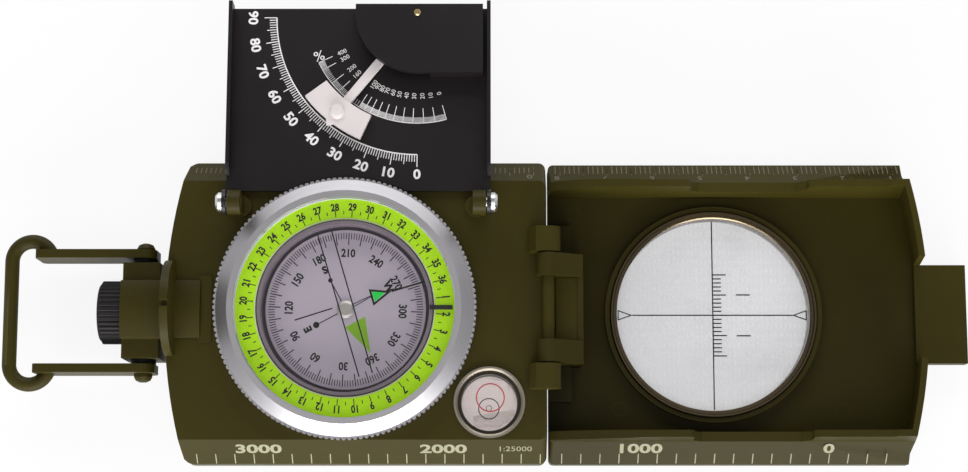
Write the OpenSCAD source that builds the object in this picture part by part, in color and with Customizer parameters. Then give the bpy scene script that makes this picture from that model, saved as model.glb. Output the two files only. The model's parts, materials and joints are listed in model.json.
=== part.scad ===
// Folding sighting compass with a dial, a swing-out clinometer, a spirit level
// and a windowed lid, shown open as in use. Millimetres, Z up.
// The origin is on the underside of the case, below the dial's pivot.
// +X runs from the dial to the lid, +Y to the clinometer.

/* [Case] */
// Width across the ruler edges
case_w = 63; // [61:0.5:66]
// Width of the deck between the bevelled edges
deck_w = 53.6; // [53.2:0.1:54.6]
// Height of the deck above the underside
deck_z = 14; // [13.8:0.05:14.2]
// Height of the upright foot below each bevel
foot_h = 8.5; // [7.5:0.1:9.5]
// Dial centre to the curved end of the deck
case_back = 37.2; // [37:0.05:37.6]
// Dial centre to the hinge axis
hinge_x = 41.7; // [41.4:0.05:42.2]
// Radius of the curved ends in plan
end_r = 110; // [90:1:140]
// Height of the closed instrument
closed_h = 33; // [32.8:0.05:33.8]

/* [Dial] */
// Outer radius of the turning bezel
bezel_r = 26.95; // [26.5:0.05:27.1]
// Height of the bezel's top edge
bezel_top = 19.3; // [19.2:0.05:19.6]
// Number of grip teeth round the bezel
bezel_teeth = 144; // [96:4:160]
// Depth of a grip tooth
tooth_depth = 0.5; // [0.2:0.05:0.7]
// Inner radius of the luminous dial ring
dial_in_r = 18.3; // [18:0.05:18.6]
// Thickness of the crystal
crystal_t = 1.4; // [1:0.1:1.5]
// Radius of the compass card
card_r = 16.6; // [15.5:0.1:16.8]
// Height of the card's top face
card_z = 13; // [12:0.1:13.4]
// Bearing of the card's north end, clockwise from +Y
card_heading = 152; // [0:1:359]

/* [Level] */
// Level centre, along X from the dial
level_x = 29.6; // [29:0.1:29.8]
// Level centre, towards the ruler side
level_y = -19.2; // [-20:0.1:-18.8]
// Radius of the level's metal rim
level_r = 7.3; // [6.8:0.1:7.4]

/* [Eyepiece] */
// Height of the sight line above the underside
eye_z = 7; // [6.9:0.05:7.2]
// Length of the block behind the deck
block_len = 7.7; // [6:0.1:8]
// Half width of the block
block_hw = 9.95; // [9.5:0.05:10]
// Radius of the focusing knob
knob_r = 6.6; // [6.3:0.05:6.7]
// Length of the focusing knob's grip
knob_len = 4.9; // [4:0.1:6]
// Number of flutes on the focusing knob
knob_flutes = 40; // [24:2:60]
// Height of the sight arch's crown
sight_top = 25; // [22:0.1:26]

/* [Thumb bow] */
// Pivot to the middle of the bow's far bar
bow_reach = 28; // [27.8:0.1:32]
// Radius of the bow's wire
wire_r = 1.5; // [1.2:0.1:1.6]
// Height of the bow's strap arms
strap_h = 9.5; // [8:0.1:9.6]
// Thickness of the strap arms
strap_t = 1.8; // [1.4:0.1:2.2]

/* [Lid] */
// Height of the upright edge below the lid's bevels
lid_foot_h = 4; // [3:0.1:5]
// Height of the lid's side walls above its outer face
rim_z = 17.5; // [16.5:0.05:17.55]
// Height of the low wall beside the hinge
low_rim_z = 11.5; // [10.5:0.1:12]
// Thickness of the lid's plate
lid_t = 3; // [2.6:0.1:3.4]
// Thickness of the side walls, measured in from the deck's width
lid_wall = 1.8; // [1.65:0.05:1.95]
// Hinge axis to the window's centre
window_x = 35; // [34:0.1:36]
// Clear radius of the window
window_r = 20.3; // [18:0.1:20.6]
// Hinge axis to the end of the tab
tab_reach = 88.2; // [86:0.1:89]
// Half width of the tab
tab_hw = 10.4; // [10.2:0.05:10.5]

/* [Clinometer] */
// Height of the fold axis
fold_z = 20.2; // [20.1:0.05:20.4]
// Distance of the fold axis in from the edge of the deck
fold_in = 5.6; // [5.4:0.05:5.8]
// Length of the plate beyond the fold axis
plate_len = 42.9; // [40:0.1:44]
// Width of the plate over its lips
plate_w = 54.8; // [54:0.1:55.4]
// Dial centre to the middle of the plate
plate_x = 2.5; // [2:0.1:3]
// Thickness of the folded sheet
sheet_t = 0.8; // [0.6:0.05:0.9]
// Fold axis to the top face of the sheet
sheet_drop = 4.9; // [4.8:0.02:5]
// Downward slope of the opened plate
plate_slope = 3; // [2.5:0.1:3.2]
// Height of the lips at the plate's sides
lip_h = 3.3; // [2:0.1:3.6]
// Height of the pendulum's cover
cover_h = 3.7; // [3.2:0.1:3.8]
// Slope angle that the pendulum shows
reading = 38.5; // [10:0.5:80]

/* [Hidden] */
$fn = 96;
seat_gap = 0.05;
run_gap = 0.05;
clear_gap = 0.3;
side_gap = 0.2;

over = 1;
hinge_z = closed_h / 2;
case_front = hinge_x - clear_gap;
case_draft = 0.8;

lid_start = hinge_x + 0.25;
lid_in_hw = deck_w / 2 - lid_wall;
lid_draft = 2.4;
rim_end = 77.4;
rim_out_hw = lid_in_hw + 1.35;
end_rise = 1.2;
end_step_x = hinge_x + 69.5;
sweep_x0 = hinge_x + 5;
sweep_x1 = hinge_x + 20;
cut_clear = 2.1;
cut_bevel = 2;
cut_z = 8.4;
pad_len = 4.9;
pad_hw = 18.6;
pad_top = 6;
web_x = hinge_x + 6;
web_t = 1.2;
web_top = hinge_z - 2;
lug_foot_x = hinge_x + 1.5;
tab_root = 3.5;

barrel_r = 2.5;
pin_r = 1.25;
case_lug_in = 11.5;
case_lug_out = 16.6;
lid_lug_in = 6.6;
lid_lug_out = case_lug_in - clear_gap;
lug_leg_x = hinge_x - 4;

pot_r = 18;
pot_wall = 0.7;
pot_flange_r = 22.5;
pot_flange_z = deck_z - 1.4;
pot_floor_z = 3;
pot_floor_t = 1;
boss_r = 24.4;
dial_t = 0.5;
gasket_t = 1;
lip_t = 0.5;
crystal_r = 23.3;
crystal_z = bezel_top - lip_t - crystal_t;
dial_z = crystal_z - gasket_t - dial_t;
boss_top = dial_z - side_gap;
pot_top = dial_z + dial_t + clear_gap;
index_t = 0.4;
index_w = 0.9;
index_x0 = pot_r - pot_wall + 0.1;
index_x1 = dial_in_r + 3.8;
skirt_r = boss_r + 0.1;
skirt_z = deck_z + 0.4;
knurl_top = bezel_top - 2.1;
lip_r = 22.7;
groove_z = deck_z + 0.6;
groove_h = 0.6;
clip_z = groove_z + 0.08;
clip_t = 0.45;
clip_split = 1.6;

card_t = 0.4;
drum_t = 0.3;
drum_z = pot_floor_z + pot_floor_t + 1.5;
tip_z = card_z - 0.55;
needle_r = 0.8;
needle_foot_r = 1;
needle_taper = 2.6;
jewel_r = 1.35;
jewel_depth = 1.7;
cap_r = 1.8;
cap_h = 0.6;
magnet_l = 20;
magnet_w = 2.4;
magnet_h = 1.8;
magnet_y = 3.4;

level_wall = 0.4;
level_rim_h = 0.55;
level_floor_z = 7;
backing_z = level_floor_z + 0.6;
backing_t = 1;
window_z0 = deck_z - 1.8;
window_z1 = deck_z - 0.3;
vial_r = level_r - 1.55;
bubble_x = -0.35;
bubble_y = -2.3;
bubble_r = 2;
bubble_h = 0.6;

block_gap = 0.6;
neck_hw = 5.95;
neck_floor = 1.6;
neck_end = -29.8;
block_x1 = -case_back - case_draft - block_gap;
block_x0 = block_x1 - block_len;
block_z0 = 1;
block_top = deck_z - 2;
hump_side_z = deck_z + 0.4;
hump_top = deck_z + 1.4;
sight_hw = 9.8;
sight_t = 1.7;
sight_x0 = -case_back + 0.5;
sight_bore_r = 2.5;
notch_w = 1.2;
notch_depth = 1.6;
knob_seat_r = 5.25;
knob_seat_depth = 3.8;
flute_depth = 0.25;
knob_bore_r = 4.56;
cell_r = knob_bore_r - run_gap;
knob_x1 = block_x0 - side_gap;
knob_x0 = knob_x1 - knob_len;
lens_r = 3.9;
lens_t = 2.2;
lens_curve_r = 10.2;
cell_x0 = knob_x0 + 1.6;
cell_lip = 0.5;
cell_len = 4.4;

housing_screw_x = neck_end - 3.2;
housing_screw_y = neck_hw - 2.05;
housing_screw_r = 1;
housing_head_r = 1.75;
housing_screw_depth = 2.4;

bow_x = block_x1 - block_len / 2 + 0.05;
washer_t = 1;
strap_in = block_hw + washer_t + run_gap;
strap_out = strap_in + strap_t;
strap_end = 2.7;
strap_len = 22.4;
bend_r = 4.2;
bend_y = strap_in - 0.2;
shoulder_r = 1.45;
bow_screw_r = 1;
bow_screw_len = 3.2;
bow_head_r = 1.9;
bow_head_t = 1.75;
washer_r = 2.6;
strap_corner = 2.4;
strap_tip_r = 1.2;

window_px = hinge_x + window_x;
glass_z = 1.2;
glass_t = 1.5;
glass_r = window_r + 1.5;
ring_r = glass_r + seat_gap;
ring_z0 = glass_z + glass_t;
ring_h = 2.8;
ring_lip = 0.9;
frame_r = ring_r + 0.95;
frame_top = lid_t + 2.1;
tab_z0 = 1;
tab_top = 4.6;

fold_y = deck_w / 2 - fold_in;
ear_r = 2.6;
ear_screw_r = 0.9;
ear_shoulder_r = 1.2;
ear_head_r = 2;
ear_head_t = 1.35;
plate_x0 = plate_x - plate_w / 2;
plate_x1 = plate_x + plate_w / 2;
post_t = 2.7;
post_hw = 1.9;
post_pad_r = 2.2;
post_pad_t = 1.1;
stud_r = 1.2;
stud_len = 2.9;
near_edge = 3.5;
lip_start = 6.8;
lip_end = plate_len + 0.8;
axle_px = 14.6;
axle_py = plate_len - 2;
cover_r = 12.9;
cover_right = plate_x1 - sheet_t - 0.8 - axle_px;
cover_wall = 0.8;
cover_back = 1.9;
cover_mouth_h = 2.3;
bob_t = 1.2;
bob_arm_t = 0.7;
bob_arm_hw = 0.97;
bob_hub_r = 1.25;
bob_point_hw = 1.1;
rivet_r = 0.8;
rivet_head_r = 1.65;
bob_z = -sheet_drop + 0.6;
bob_in = 23.6;
bob_out = 29.2;
bob_tip = 30.3;
bob_half = 14.7;
bob_rivet_at = 26.7;
axle_r = 0.7;

bush_x = 32.5;
bush_r = 4.5;
bush_depth = 8.5;
thread_r = 2.6;
thread_lead = 0.5;
bush_inset = 0.2;

// A profile in Y and Z, drawn out along X
module along_x(x0, x1) {
  translate([x0, 0, 0]) rotate([90, 0, 90]) linear_extrude(x1 - x0) children();
}

// A profile in X and Z, drawn out along Y
module along_y(y0, y1) {
  translate([0, y1, 0]) rotate([90, 0, 0]) linear_extrude(y1 - y0) children();
}

module rod_x(x0, x1, r) {
  translate([x0, 0, 0]) rotate([0, 90, 0]) cylinder(h = x1 - x0, r = r);
}

module rod_y(y0, y1, r) {
  translate([0, y1, 0]) rotate([90, 0, 0]) cylinder(h = y1 - y0, r = r);
}

module rod_z(z0, z1, r) {
  translate([0, 0, z0]) cylinder(h = z1 - z0, r = r);
}

module ring_z(z0, z1, r_in, r_out) {
  rotate_extrude() translate([r_in, z0]) square([r_out - r_in, z1 - z0]);
}

// Children turned about X and carried to the fold axis of the clinometer
module on_plate() {
  translate([0, fold_y, fold_z]) rotate([-plate_slope, 0, 0]) children();
}

// Children set at the pendulum's axle, on the clinometer's own plane
module at_axle() {
  on_plate() translate([axle_px, axle_py, 0]) children();
}

module both_sides() {
  children();
  mirror([0, 1, 0]) children();
}

// Case

module case_section() {
  half = case_w / 2;
  deck = deck_w / 2;
  polygon([
    [-half, 0], [half, 0], [half, foot_h], [deck, deck_z], [-deck, deck_z], [-half, foot_h]
  ]);
}

// A lug that rises from the deck to the hinge barrel
module case_lug_profile() {
  difference() {
    union() {
      translate([hinge_x, hinge_z]) circle(barrel_r);
      translate([lug_leg_x, deck_z - 0.5]) square([case_front - lug_leg_x, hinge_z - deck_z + 0.5]);
      polygon([
        [lug_leg_x, hinge_z - 0.01], [lug_leg_x + 1.4, hinge_z + barrel_r],
        [hinge_x, hinge_z + barrel_r], [hinge_x, hinge_z - 0.01]
      ]);
    }
    translate([hinge_x, hinge_z]) circle(pin_r + 0.02);
  }
}

module case_body() color("#4b4620") difference() {
  union() {
    intersection() {
      along_x(-case_back - 2, case_front) case_section();
      translate([end_r - case_back, 0, 0])
        cylinder(h = deck_z, r1 = end_r + case_draft, r2 = end_r, $fn = 360);
    }
    rod_z(deck_z - 1, boss_top, boss_r);
    translate([neck_end - 0.5, -neck_hw - 1, deck_z - 0.5])
      cube([-neck_end - bezel_r, 2 * neck_hw + 2, 0.8]);
    both_sides() along_y(case_lug_in, case_lug_out) case_lug_profile();
  }
  rod_z(pot_floor_z, boss_top + 1, pot_r + 0.1);
  rod_z(pot_flange_z, boss_top + 1, pot_flange_r + 0.1);
  ring_z(groove_z, groove_z + groove_h, boss_r - 0.8, boss_r + 1);
  translate([level_x, level_y, 0]) rod_z(level_floor_z, deck_z + 1, level_r - level_wall + 0.1);
  translate([-case_back - 3, -neck_hw - seat_gap, neck_floor])
    cube([case_back + 3 + neck_end + seat_gap, 2 * (neck_hw + seat_gap), deck_z]);
  translate([0, 0, eye_z]) rod_x(neck_end - over, -pot_r + over, sight_bore_r + 0.5);
  translate([hinge_x, 0, hinge_z])
    rod_y(-lid_lug_out - clear_gap, lid_lug_out + clear_gap, barrel_r + clear_gap + 0.1);
  translate([bush_x, 0, 0]) rod_z(-1, bush_depth + seat_gap, bush_r + seat_gap);
  for (x = post_axes()) translate([x, fold_y, 0])
    rod_z(deck_z - stud_len - 0.1, deck_z + over, stud_r + seat_gap);
  for (s = [-1, 1]) translate([housing_screw_x, s * housing_screw_y, 0]) {
    rod_z(-over, neck_floor + over, housing_screw_r + 0.1);
    translate([0, 0, -0.01])
      cylinder(h = 1.21, r1 = housing_head_r + 0.35, r2 = housing_screw_r + 0.1);
  }
}

// Middles of the two post pads, along X
function post_axes() = [
  plate_x0 + sheet_t + side_gap + post_pad_r,
  plate_x1 - sheet_t - side_gap - post_pad_r
];

module tripod_bush() color("#b08d3c") translate([bush_x, 0, 0]) difference() {
  rod_z(bush_inset, bush_depth, bush_r);
  rod_z(0, bush_depth - over, thread_r);
  translate([0, 0, bush_inset - 0.01])
    cylinder(h = thread_lead, r1 = thread_r + thread_lead, r2 = thread_r);
}

// Dial

module capsule_pot() color("#8c8c86") difference() {
  rotate_extrude() polygon([
    [0, pot_floor_z + seat_gap], [pot_r, pot_floor_z + seat_gap], [pot_r, pot_flange_z + seat_gap],
    [pot_flange_r, pot_flange_z + seat_gap], [pot_flange_r, deck_z - 0.4], [pot_r, deck_z - 0.4],
    [pot_r, pot_top], [pot_r - pot_wall, pot_top], [pot_r - pot_wall, pot_floor_z + pot_floor_t],
    [0, pot_floor_z + pot_floor_t]
  ]);
  translate([0, 0, eye_z]) rod_x(-pot_r - over, -pot_r + 2 * pot_wall, sight_bore_r + 0.1);
  rod_z(pot_floor_z, pot_floor_z + 2 * pot_floor_t, needle_foot_r + seat_gap);
}

module pivot_needle() color("#c9ccd1") rotate_extrude() polygon([
  [0, pot_floor_z + 0.2], [needle_foot_r, pot_floor_z + 0.2],
  [needle_foot_r, pot_floor_z + pot_floor_t + 0.02],
  [2 * needle_foot_r, pot_floor_z + pot_floor_t + 0.02],
  [2 * needle_foot_r, pot_floor_z + pot_floor_t + 0.8],
  [needle_r, pot_floor_z + pot_floor_t + 1.2], [needle_r, tip_z - needle_taper],
  [0.1 * needle_r, tip_z], [0, tip_z]
]);

module index_bar() color("#101010") translate([index_x0, -index_w / 2, pot_top])
  cube([index_x1 - index_x0, index_w, index_t]);

module bezel_clip() color("#8f949a") difference() {
  ring_z(clip_z, clip_z + clip_t, boss_r - 0.7, boss_r + 0.6);
  translate([boss_r - over, -clip_split / 2, clip_z - over])
    cube([2 * over, clip_split, clip_t + 2 * over]);
}

module compass_card() color("#b9bcb8") rotate_extrude() polygon([
  [jewel_r + seat_gap, card_z - card_t], [card_r - drum_t, card_z - card_t],
  [card_r - drum_t, drum_z], [card_r, drum_z], [card_r, card_z - 0.1],
  [card_r - 0.1, card_z], [jewel_r + seat_gap, card_z]
]);

module card_jewel() color("#b5893a") rotate_extrude() polygon([
  [0, card_z - 0.3], [0.75, card_z - jewel_depth], [jewel_r, card_z - jewel_depth],
  [jewel_r, card_z + 0.02], [cap_r, card_z + 0.02], [cap_r, card_z + cap_h / 2],
  [0.7 * cap_r, card_z + cap_h], [0, card_z + cap_h]
]);

module card_magnets() color("#5c5f63") rotate([0, 0, -card_heading])
  for (s = [-1, 1]) translate([s * magnet_y - magnet_w / 2, -magnet_l / 2, card_z - card_t - magnet_h])
    cube([magnet_w, magnet_l, magnet_h]);

// Outline of the grip, one flat crest and one valley for each tooth
module tooth_outline(count, r_out, depth) {
  step = 360 / count;
  polygon([
    for (i = [0 : count - 1], k = [0 : 2])
      let (a = step * (i + [-0.2, 0.2, 0.5][k]), r = k < 2 ? r_out : r_out - depth)
        [r * cos(a), r * sin(a)]
  ]);
}

module bezel_ring() color("#c4c6c8") difference() {
  union() {
    translate([0, 0, skirt_z]) linear_extrude(knurl_top - skirt_z)
      tooth_outline(bezel_teeth, bezel_r, tooth_depth);
    rotate_extrude() polygon([
      [0, knurl_top - 0.01], [bezel_r - tooth_depth - 0.1, knurl_top - 0.01],
      [bezel_r - tooth_depth - 0.1, knurl_top + 0.3], [lip_r + 1.2, bezel_top], [0, bezel_top]
    ]);
  }
  rod_z(skirt_z - over, boss_top + side_gap, skirt_r);
  ring_z(groove_z - 0.06, groove_z + groove_h + 0.1, skirt_r - over, boss_r + 0.75);
  rod_z(skirt_z - over, bezel_top - lip_t, crystal_r + seat_gap);
  rod_z(skirt_z - over, bezel_top + over, lip_r);
}

module crystal() color("#dfe8ea", 0.35) ring_disc(crystal_z, crystal_z + crystal_t, crystal_r);

module ring_disc(z0, z1, r) {
  rotate_extrude() polygon([[0, z0], [r, z0], [r, z1 - 0.15], [r - 0.15, z1], [0, z1]]);
}

module crystal_gasket() color("#1b1b1b")
  ring_z(crystal_z - gasket_t, crystal_z, crystal_r - 0.8, crystal_r);

module dial_ring() color("#9fe000") ring_z(dial_z, dial_z + dial_t, dial_in_r, crystal_r);

// Spirit level

module level_cup() color("#b9bbbd") translate([level_x, level_y, 0]) rotate_extrude() polygon([
  [0, level_floor_z + seat_gap], [level_r - level_wall, level_floor_z + seat_gap],
  [level_r - level_wall, deck_z], [level_r, deck_z], [level_r, deck_z + level_rim_h],
  [level_r - level_wall, deck_z + level_rim_h],
  [level_r - 2 * level_wall, deck_z + level_rim_h / 2],
  [level_r - 2 * level_wall, backing_z], [0, backing_z]
]);

module level_holder() color("#161616") translate([level_x, level_y, 0])
  ring_z(backing_z, window_z1 - 0.3, vial_r + seat_gap, level_r - 2 * level_wall - seat_gap);

module level_backing() color("#eceae4") translate([level_x, level_y, 0])
  ring_disc(backing_z, backing_z + backing_t, vial_r);

module level_liquid() color("#d8e6b8", 0.4) translate([level_x, level_y, 0]) difference() {
  rod_z(backing_z + backing_t, window_z0, vial_r);
  translate([bubble_x, bubble_y, window_z0 - bubble_h])
    cylinder(h = bubble_h + over, r1 = bubble_r - 0.1, r2 = bubble_r + 0.1);
}

module level_window() color("#e4ecec", 0.35) translate([level_x, level_y, 0])
  rotate_extrude() polygon([
    [0, window_z0], [vial_r, window_z0], [vial_r, window_z1 - 0.3], [vial_r - 0.4, window_z1],
    [0, window_z1]
  ]);

// Eyepiece

module hump_profile() {
  intersection() {
    translate([-neck_hw, neck_floor + seat_gap])
      square([2 * neck_hw, hump_top - neck_floor - seat_gap]);
    crown_r = (neck_hw * neck_hw + pow(hump_top - hump_side_z, 2)) / (2 * (hump_top - hump_side_z));
    translate([0, hump_top - crown_r]) circle(crown_r, $fn = 180);
  }
}

// The arch that carries the rear notch, standing on the deck astride the neck
module sight_profile() {
  rise = sight_top - deck_z - 1;
  arch_r = (sight_hw * sight_hw + rise * rise) / (2 * rise);
  intersection() {
    translate([-sight_hw, deck_z]) square([2 * sight_hw, sight_top - deck_z]);
    translate([0, sight_top - arch_r]) circle(arch_r, $fn = 180);
  }
}

module eyepiece_housing() color("#4f4a22") difference() {
  union() {
    translate([block_x0, -block_hw, block_z0])
      cube([block_len, 2 * block_hw, block_top - block_z0]);
    along_x(block_x0, neck_end) hump_profile();
    along_x(sight_x0, sight_x0 + sight_t) sight_profile();
  }
  translate([0, 0, eye_z]) rod_x(block_x0 - over, block_x0 + knob_seat_depth, knob_seat_r);
  translate([0, 0, eye_z]) rod_x(block_x0, sight_x0, 4);
  translate([0, 0, eye_z]) rod_x(sight_x0 - over, neck_end + over, sight_bore_r);
  translate([sight_x0 - over, -notch_w / 2, sight_top - notch_depth])
    cube([sight_t + 2 * over, notch_w, notch_depth + over]);
  both_sides() translate([bow_x, 0, eye_z])
    rod_y(block_hw - bow_screw_len - 0.2, block_hw + over, bow_screw_r + 0.02);
  for (s = [-1, 1]) translate([housing_screw_x, s * housing_screw_y, 0])
    rod_z(0, neck_floor + housing_screw_depth + 0.2, housing_screw_r + 0.02);
}

module housing_screws() color("#77797c")
  for (s = [-1, 1]) translate([housing_screw_x, s * housing_screw_y, 0]) rotate_extrude() polygon([
    [0, 0.15], [housing_head_r, 0.15], [housing_screw_r, 1.1],
    [housing_screw_r, neck_floor + housing_screw_depth], [0, neck_floor + housing_screw_depth]
  ]);

module focus_knob() color("#242326") difference() {
  union() {
    translate([knob_x0 + 0.5, 0, eye_z]) rotate([90, 0, 90]) linear_extrude(knob_len - 0.5)
      tooth_outline(knob_flutes, knob_r, flute_depth);
    translate([knob_x0, 0, eye_z]) rotate([0, 90, 0])
      cylinder(h = 0.51, r1 = knob_r - flute_depth - 0.45, r2 = knob_r - flute_depth);
    translate([0, 0, eye_z])
      rod_x(knob_x1 - 0.1, block_x0 + knob_seat_depth - side_gap, knob_seat_r - run_gap);
  }
  translate([0, 0, eye_z]) rod_x(knob_x0 - over, block_x0 + knob_seat_depth + over, knob_bore_r);
}

module lens_cell() color("#2b2b2d") translate([cell_x0, 0, eye_z]) rotate([0, 90, 0])
  rotate_extrude() polygon([
    [lens_r - cell_lip, 0], [cell_r, 0], [cell_r, cell_len], [lens_r - 0.3, cell_len],
    [lens_r - 0.3, cell_lip + lens_t], [lens_r + seat_gap, cell_lip + lens_t],
    [lens_r + seat_gap, cell_lip], [lens_r - cell_lip, cell_lip]
  ]);

module eyepiece_lens() color("#dde8ea", 0.35) translate([cell_x0 + cell_lip, 0, eye_z])
  rotate([0, 90, 0]) intersection() {
    rod_z(0, lens_t, lens_r);
    translate([0, 0, lens_curve_r]) sphere(lens_curve_r);
    translate([0, 0, lens_t - lens_curve_r]) sphere(lens_curve_r);
  }

// Thumb bow

module strap_profile() {
  half = strap_h / 2;
  tip = strap_tip_r;
  difference() {
    union() {
      translate([-strap_len + tip, -half])
        square([strap_len + strap_end - tip - strap_corner, strap_h]);
      translate([-strap_len, -half + tip])
        square([strap_len + strap_end - strap_corner, strap_h - 2 * tip]);
      translate([0, -half + strap_corner]) square([strap_end, strap_h - 2 * strap_corner]);
      for (s = [-1, 1]) {
        translate([-strap_len + tip, s * (half - tip)]) circle(tip);
        translate([strap_end - strap_corner, s * (half - strap_corner)]) circle(strap_corner);
      }
    }
    circle(shoulder_r + run_gap);
  }
}

module bow_half() {
  along_y(strap_in, strap_out) translate([bow_x, eye_z]) strap_profile();
  translate([bow_x - bow_reach, 0, eye_z]) rod_y(0, bend_y, wire_r);
  translate([bow_x - bow_reach, 0, eye_z]) rod_y(bend_y - 0.5, bend_y + 0.5, wire_r / 2);
  translate([bow_x - bow_reach + bend_r, bend_y, eye_z]) rotate([0, 0, 18])
    rotate_extrude(angle = 162) translate([bend_r, 0]) circle(wire_r, $fn = 48);
}

module thumb_bow() color("#6b6638") both_sides() bow_half();

module bow_screws() color("#5d5830") both_sides()
  translate([bow_x, 0, eye_z]) rotate([-90, 0, 0]) rotate_extrude() polygon([
    [0, block_hw - bow_screw_len], [bow_screw_r, block_hw - bow_screw_len],
    [bow_screw_r, block_hw + seat_gap / 2], [shoulder_r, block_hw + seat_gap / 2],
    [shoulder_r, strap_out + run_gap], [bow_head_r, strap_out + run_gap],
    [bow_head_r, strap_out + 0.4 * bow_head_t], [0.8 * bow_head_r, strap_out + 0.8 * bow_head_t],
    [0.4 * bow_head_r, strap_out + bow_head_t], [0, strap_out + bow_head_t]
  ]);

module bow_washers() color("#3b3b36") both_sides()
  translate([bow_x, 0, eye_z]) rotate([-90, 0, 0])
    ring_z(block_hw, block_hw + washer_t, shoulder_r + run_gap, washer_r);

// Lid, lying open with its outer face down

module hinge_pin() color("#5a552c") translate([hinge_x, 0, hinge_z])
  rod_y(-case_lug_out, case_lug_out, pin_r);

module lid_section() {
  half = case_w / 2;
  shoulder = deck_w / 2 + side_gap;
  top = rim_z + end_rise;
  polygon([
    [-half, 0], [half, 0], [half, lid_foot_h], [shoulder, cut_z], [rim_out_hw, top],
    [-rim_out_hw, top], [-shoulder, cut_z], [-half, lid_foot_h]
  ]);
}

// Height of the lid's walls along X: low by the hinge, sweeping up to the rim,
// cut down beside the bezel, then full to the end
module lid_wall_profile() {
  rise = rim_z - low_rim_z;
  sweep_r = (pow(sweep_x1 - sweep_x0, 2) + rise * rise) / (2 * rise);
  cut_half = sqrt(pow(bezel_r, 2) - pow(lid_in_hw, 2)) + cut_clear;
  cut_x0 = hinge_x * 2 - cut_half;
  cut_x1 = hinge_x * 2 + cut_half;
  mouth = cut_bevel / 2;
  top = rim_z + end_rise;
  far_x = hinge_x + rim_end + case_w / 4;
  difference() {
    union() {
      translate([lid_start, -over]) square([end_step_x - lid_start, rim_z + over]);
      polygon([
        [end_step_x - 0.01, -over], [far_x, -over], [far_x, top], [end_step_x + end_rise, top],
        [end_step_x - 0.01, rim_z]
      ]);
    }
    difference() {
      translate([lid_start - over, low_rim_z]) square([sweep_x1 - lid_start + over, rise + over]);
      difference() {
        translate([sweep_x0, low_rim_z - over]) square([sweep_x1 - sweep_x0 + over, rise + over]);
        translate([sweep_x0, low_rim_z + sweep_r]) circle(sweep_r, $fn = 180);
      }
    }
    polygon([
      [cut_x0 - mouth, rim_z + 0.1], [cut_x0, rim_z - mouth], [cut_x0, cut_z + cut_bevel],
      [cut_x0 + cut_bevel, cut_z], [cut_x1 - cut_bevel, cut_z],
      [cut_x1, cut_z + cut_bevel], [cut_x1, rim_z - mouth], [cut_x1 + mouth, rim_z + 0.1]
    ]);
  }
}

module lid_lug_profile() {
  web_end = web_x + web_t;
  union() {
    translate([hinge_x, hinge_z]) circle(barrel_r - 0.1);
    polygon([
      [lug_foot_x, lid_t - 0.5], [web_end, lid_t - 0.5], [web_end, web_top],
      [hinge_x + 0.9, hinge_z + barrel_r - 0.25], [hinge_x, hinge_z], [lug_foot_x, hinge_z - 1.9]
    ]);
  }
}

module lid_end(inset, top) {
  translate([hinge_x + rim_end - end_r - inset, 0, 0])
    cylinder(h = top, r1 = end_r + lid_draft, r2 = end_r, $fn = 360);
}

module lid_frame() color("#4b4620") difference() {
  union() {
    difference() {
      intersection() {
        along_x(lid_start, hinge_x + rim_end + 2 * lid_draft) lid_section();
        along_y(-case_w, case_w) lid_wall_profile();
        lid_end(0, rim_z + end_rise);
      }
      intersection() {
        translate([0, -lid_in_hw, lid_t])
          cube([end_r + rim_end, 2 * lid_in_hw, closed_h]);
        translate([0, 0, lid_t - 0.01]) lid_end(lid_wall, rim_z + 2 * end_rise);
      }
      translate([end_step_x, -tab_hw, tab_top])
        cube([tab_reach, 2 * tab_hw, closed_h]);
    }
    translate([hinge_x + rim_end - tab_root, -tab_hw, tab_z0])
      cube([tab_reach - rim_end + tab_root, 2 * tab_hw, tab_top - tab_z0]);
    translate([lid_start, -pad_hw, lid_t - 0.5])
      cube([pad_len, 2 * pad_hw, pad_top - lid_t + 0.5]);
    both_sides() along_y(lid_lug_in, lid_lug_out) lid_lug_profile();
    translate([web_x, -lid_lug_out, lid_t - 0.5])
      cube([web_t, 2 * lid_lug_out, web_top - lid_t + 0.5]);
    translate([window_px, 0, 0]) rod_z(lid_t - 0.5, frame_top, frame_r);
  }
  translate([window_px, 0, 0]) rod_z(-over, closed_h, window_r);
  translate([window_px, 0, 0]) rod_z(glass_z, closed_h, ring_r);
  translate([hinge_x, 0, hinge_z]) rod_y(-case_lug_in, case_lug_in, pin_r + run_gap);
}

module lid_window() color("#dfe8ea", 0.35) translate([window_px, 0, 0])
  ring_disc(glass_z, ring_z0, glass_r);

module window_ring() color("#8d7448") translate([window_px, 0, 0]) rotate_extrude() polygon([
  [window_r, ring_z0], [ring_r - seat_gap, ring_z0], [ring_r - seat_gap, ring_z0 + ring_h - 0.3],
  [ring_r - 0.3, ring_z0 + ring_h], [window_r + ring_lip, ring_z0 + ring_h],
  [window_r + ring_lip - 0.2, ring_z0 + ring_h - 0.6], [window_r + 0.2, ring_z0 + ring_h - 0.6],
  [window_r, ring_z0 + ring_h - 0.8]
]);

// Clinometer

module clinometer_posts() color("#565124")
  for (side = [0, 1]) {
    pad = post_axes()[side];
    inner = side == 0 ? plate_x0 + sheet_t + side_gap : plate_x1 - sheet_t - side_gap - post_t;
    difference() {
      union() {
        translate([pad, fold_y, 0]) rod_z(deck_z - stud_len, deck_z + over, stud_r);
        translate([pad, fold_y, 0]) rod_z(deck_z, deck_z + post_pad_t, post_pad_r);
        translate([0, fold_y, 0]) along_x(inner, inner + post_t) {
          translate([0, fold_z]) circle(ear_r - 0.1);
          translate([-post_hw, deck_z + post_pad_t / 2])
            square([2 * post_hw, fold_z - deck_z - post_pad_t / 2]);
        }
      }
      translate([0, fold_y, fold_z]) rod_x(inner - over, inner + post_t + over, ear_screw_r + 0.02);
    }
  }

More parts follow.
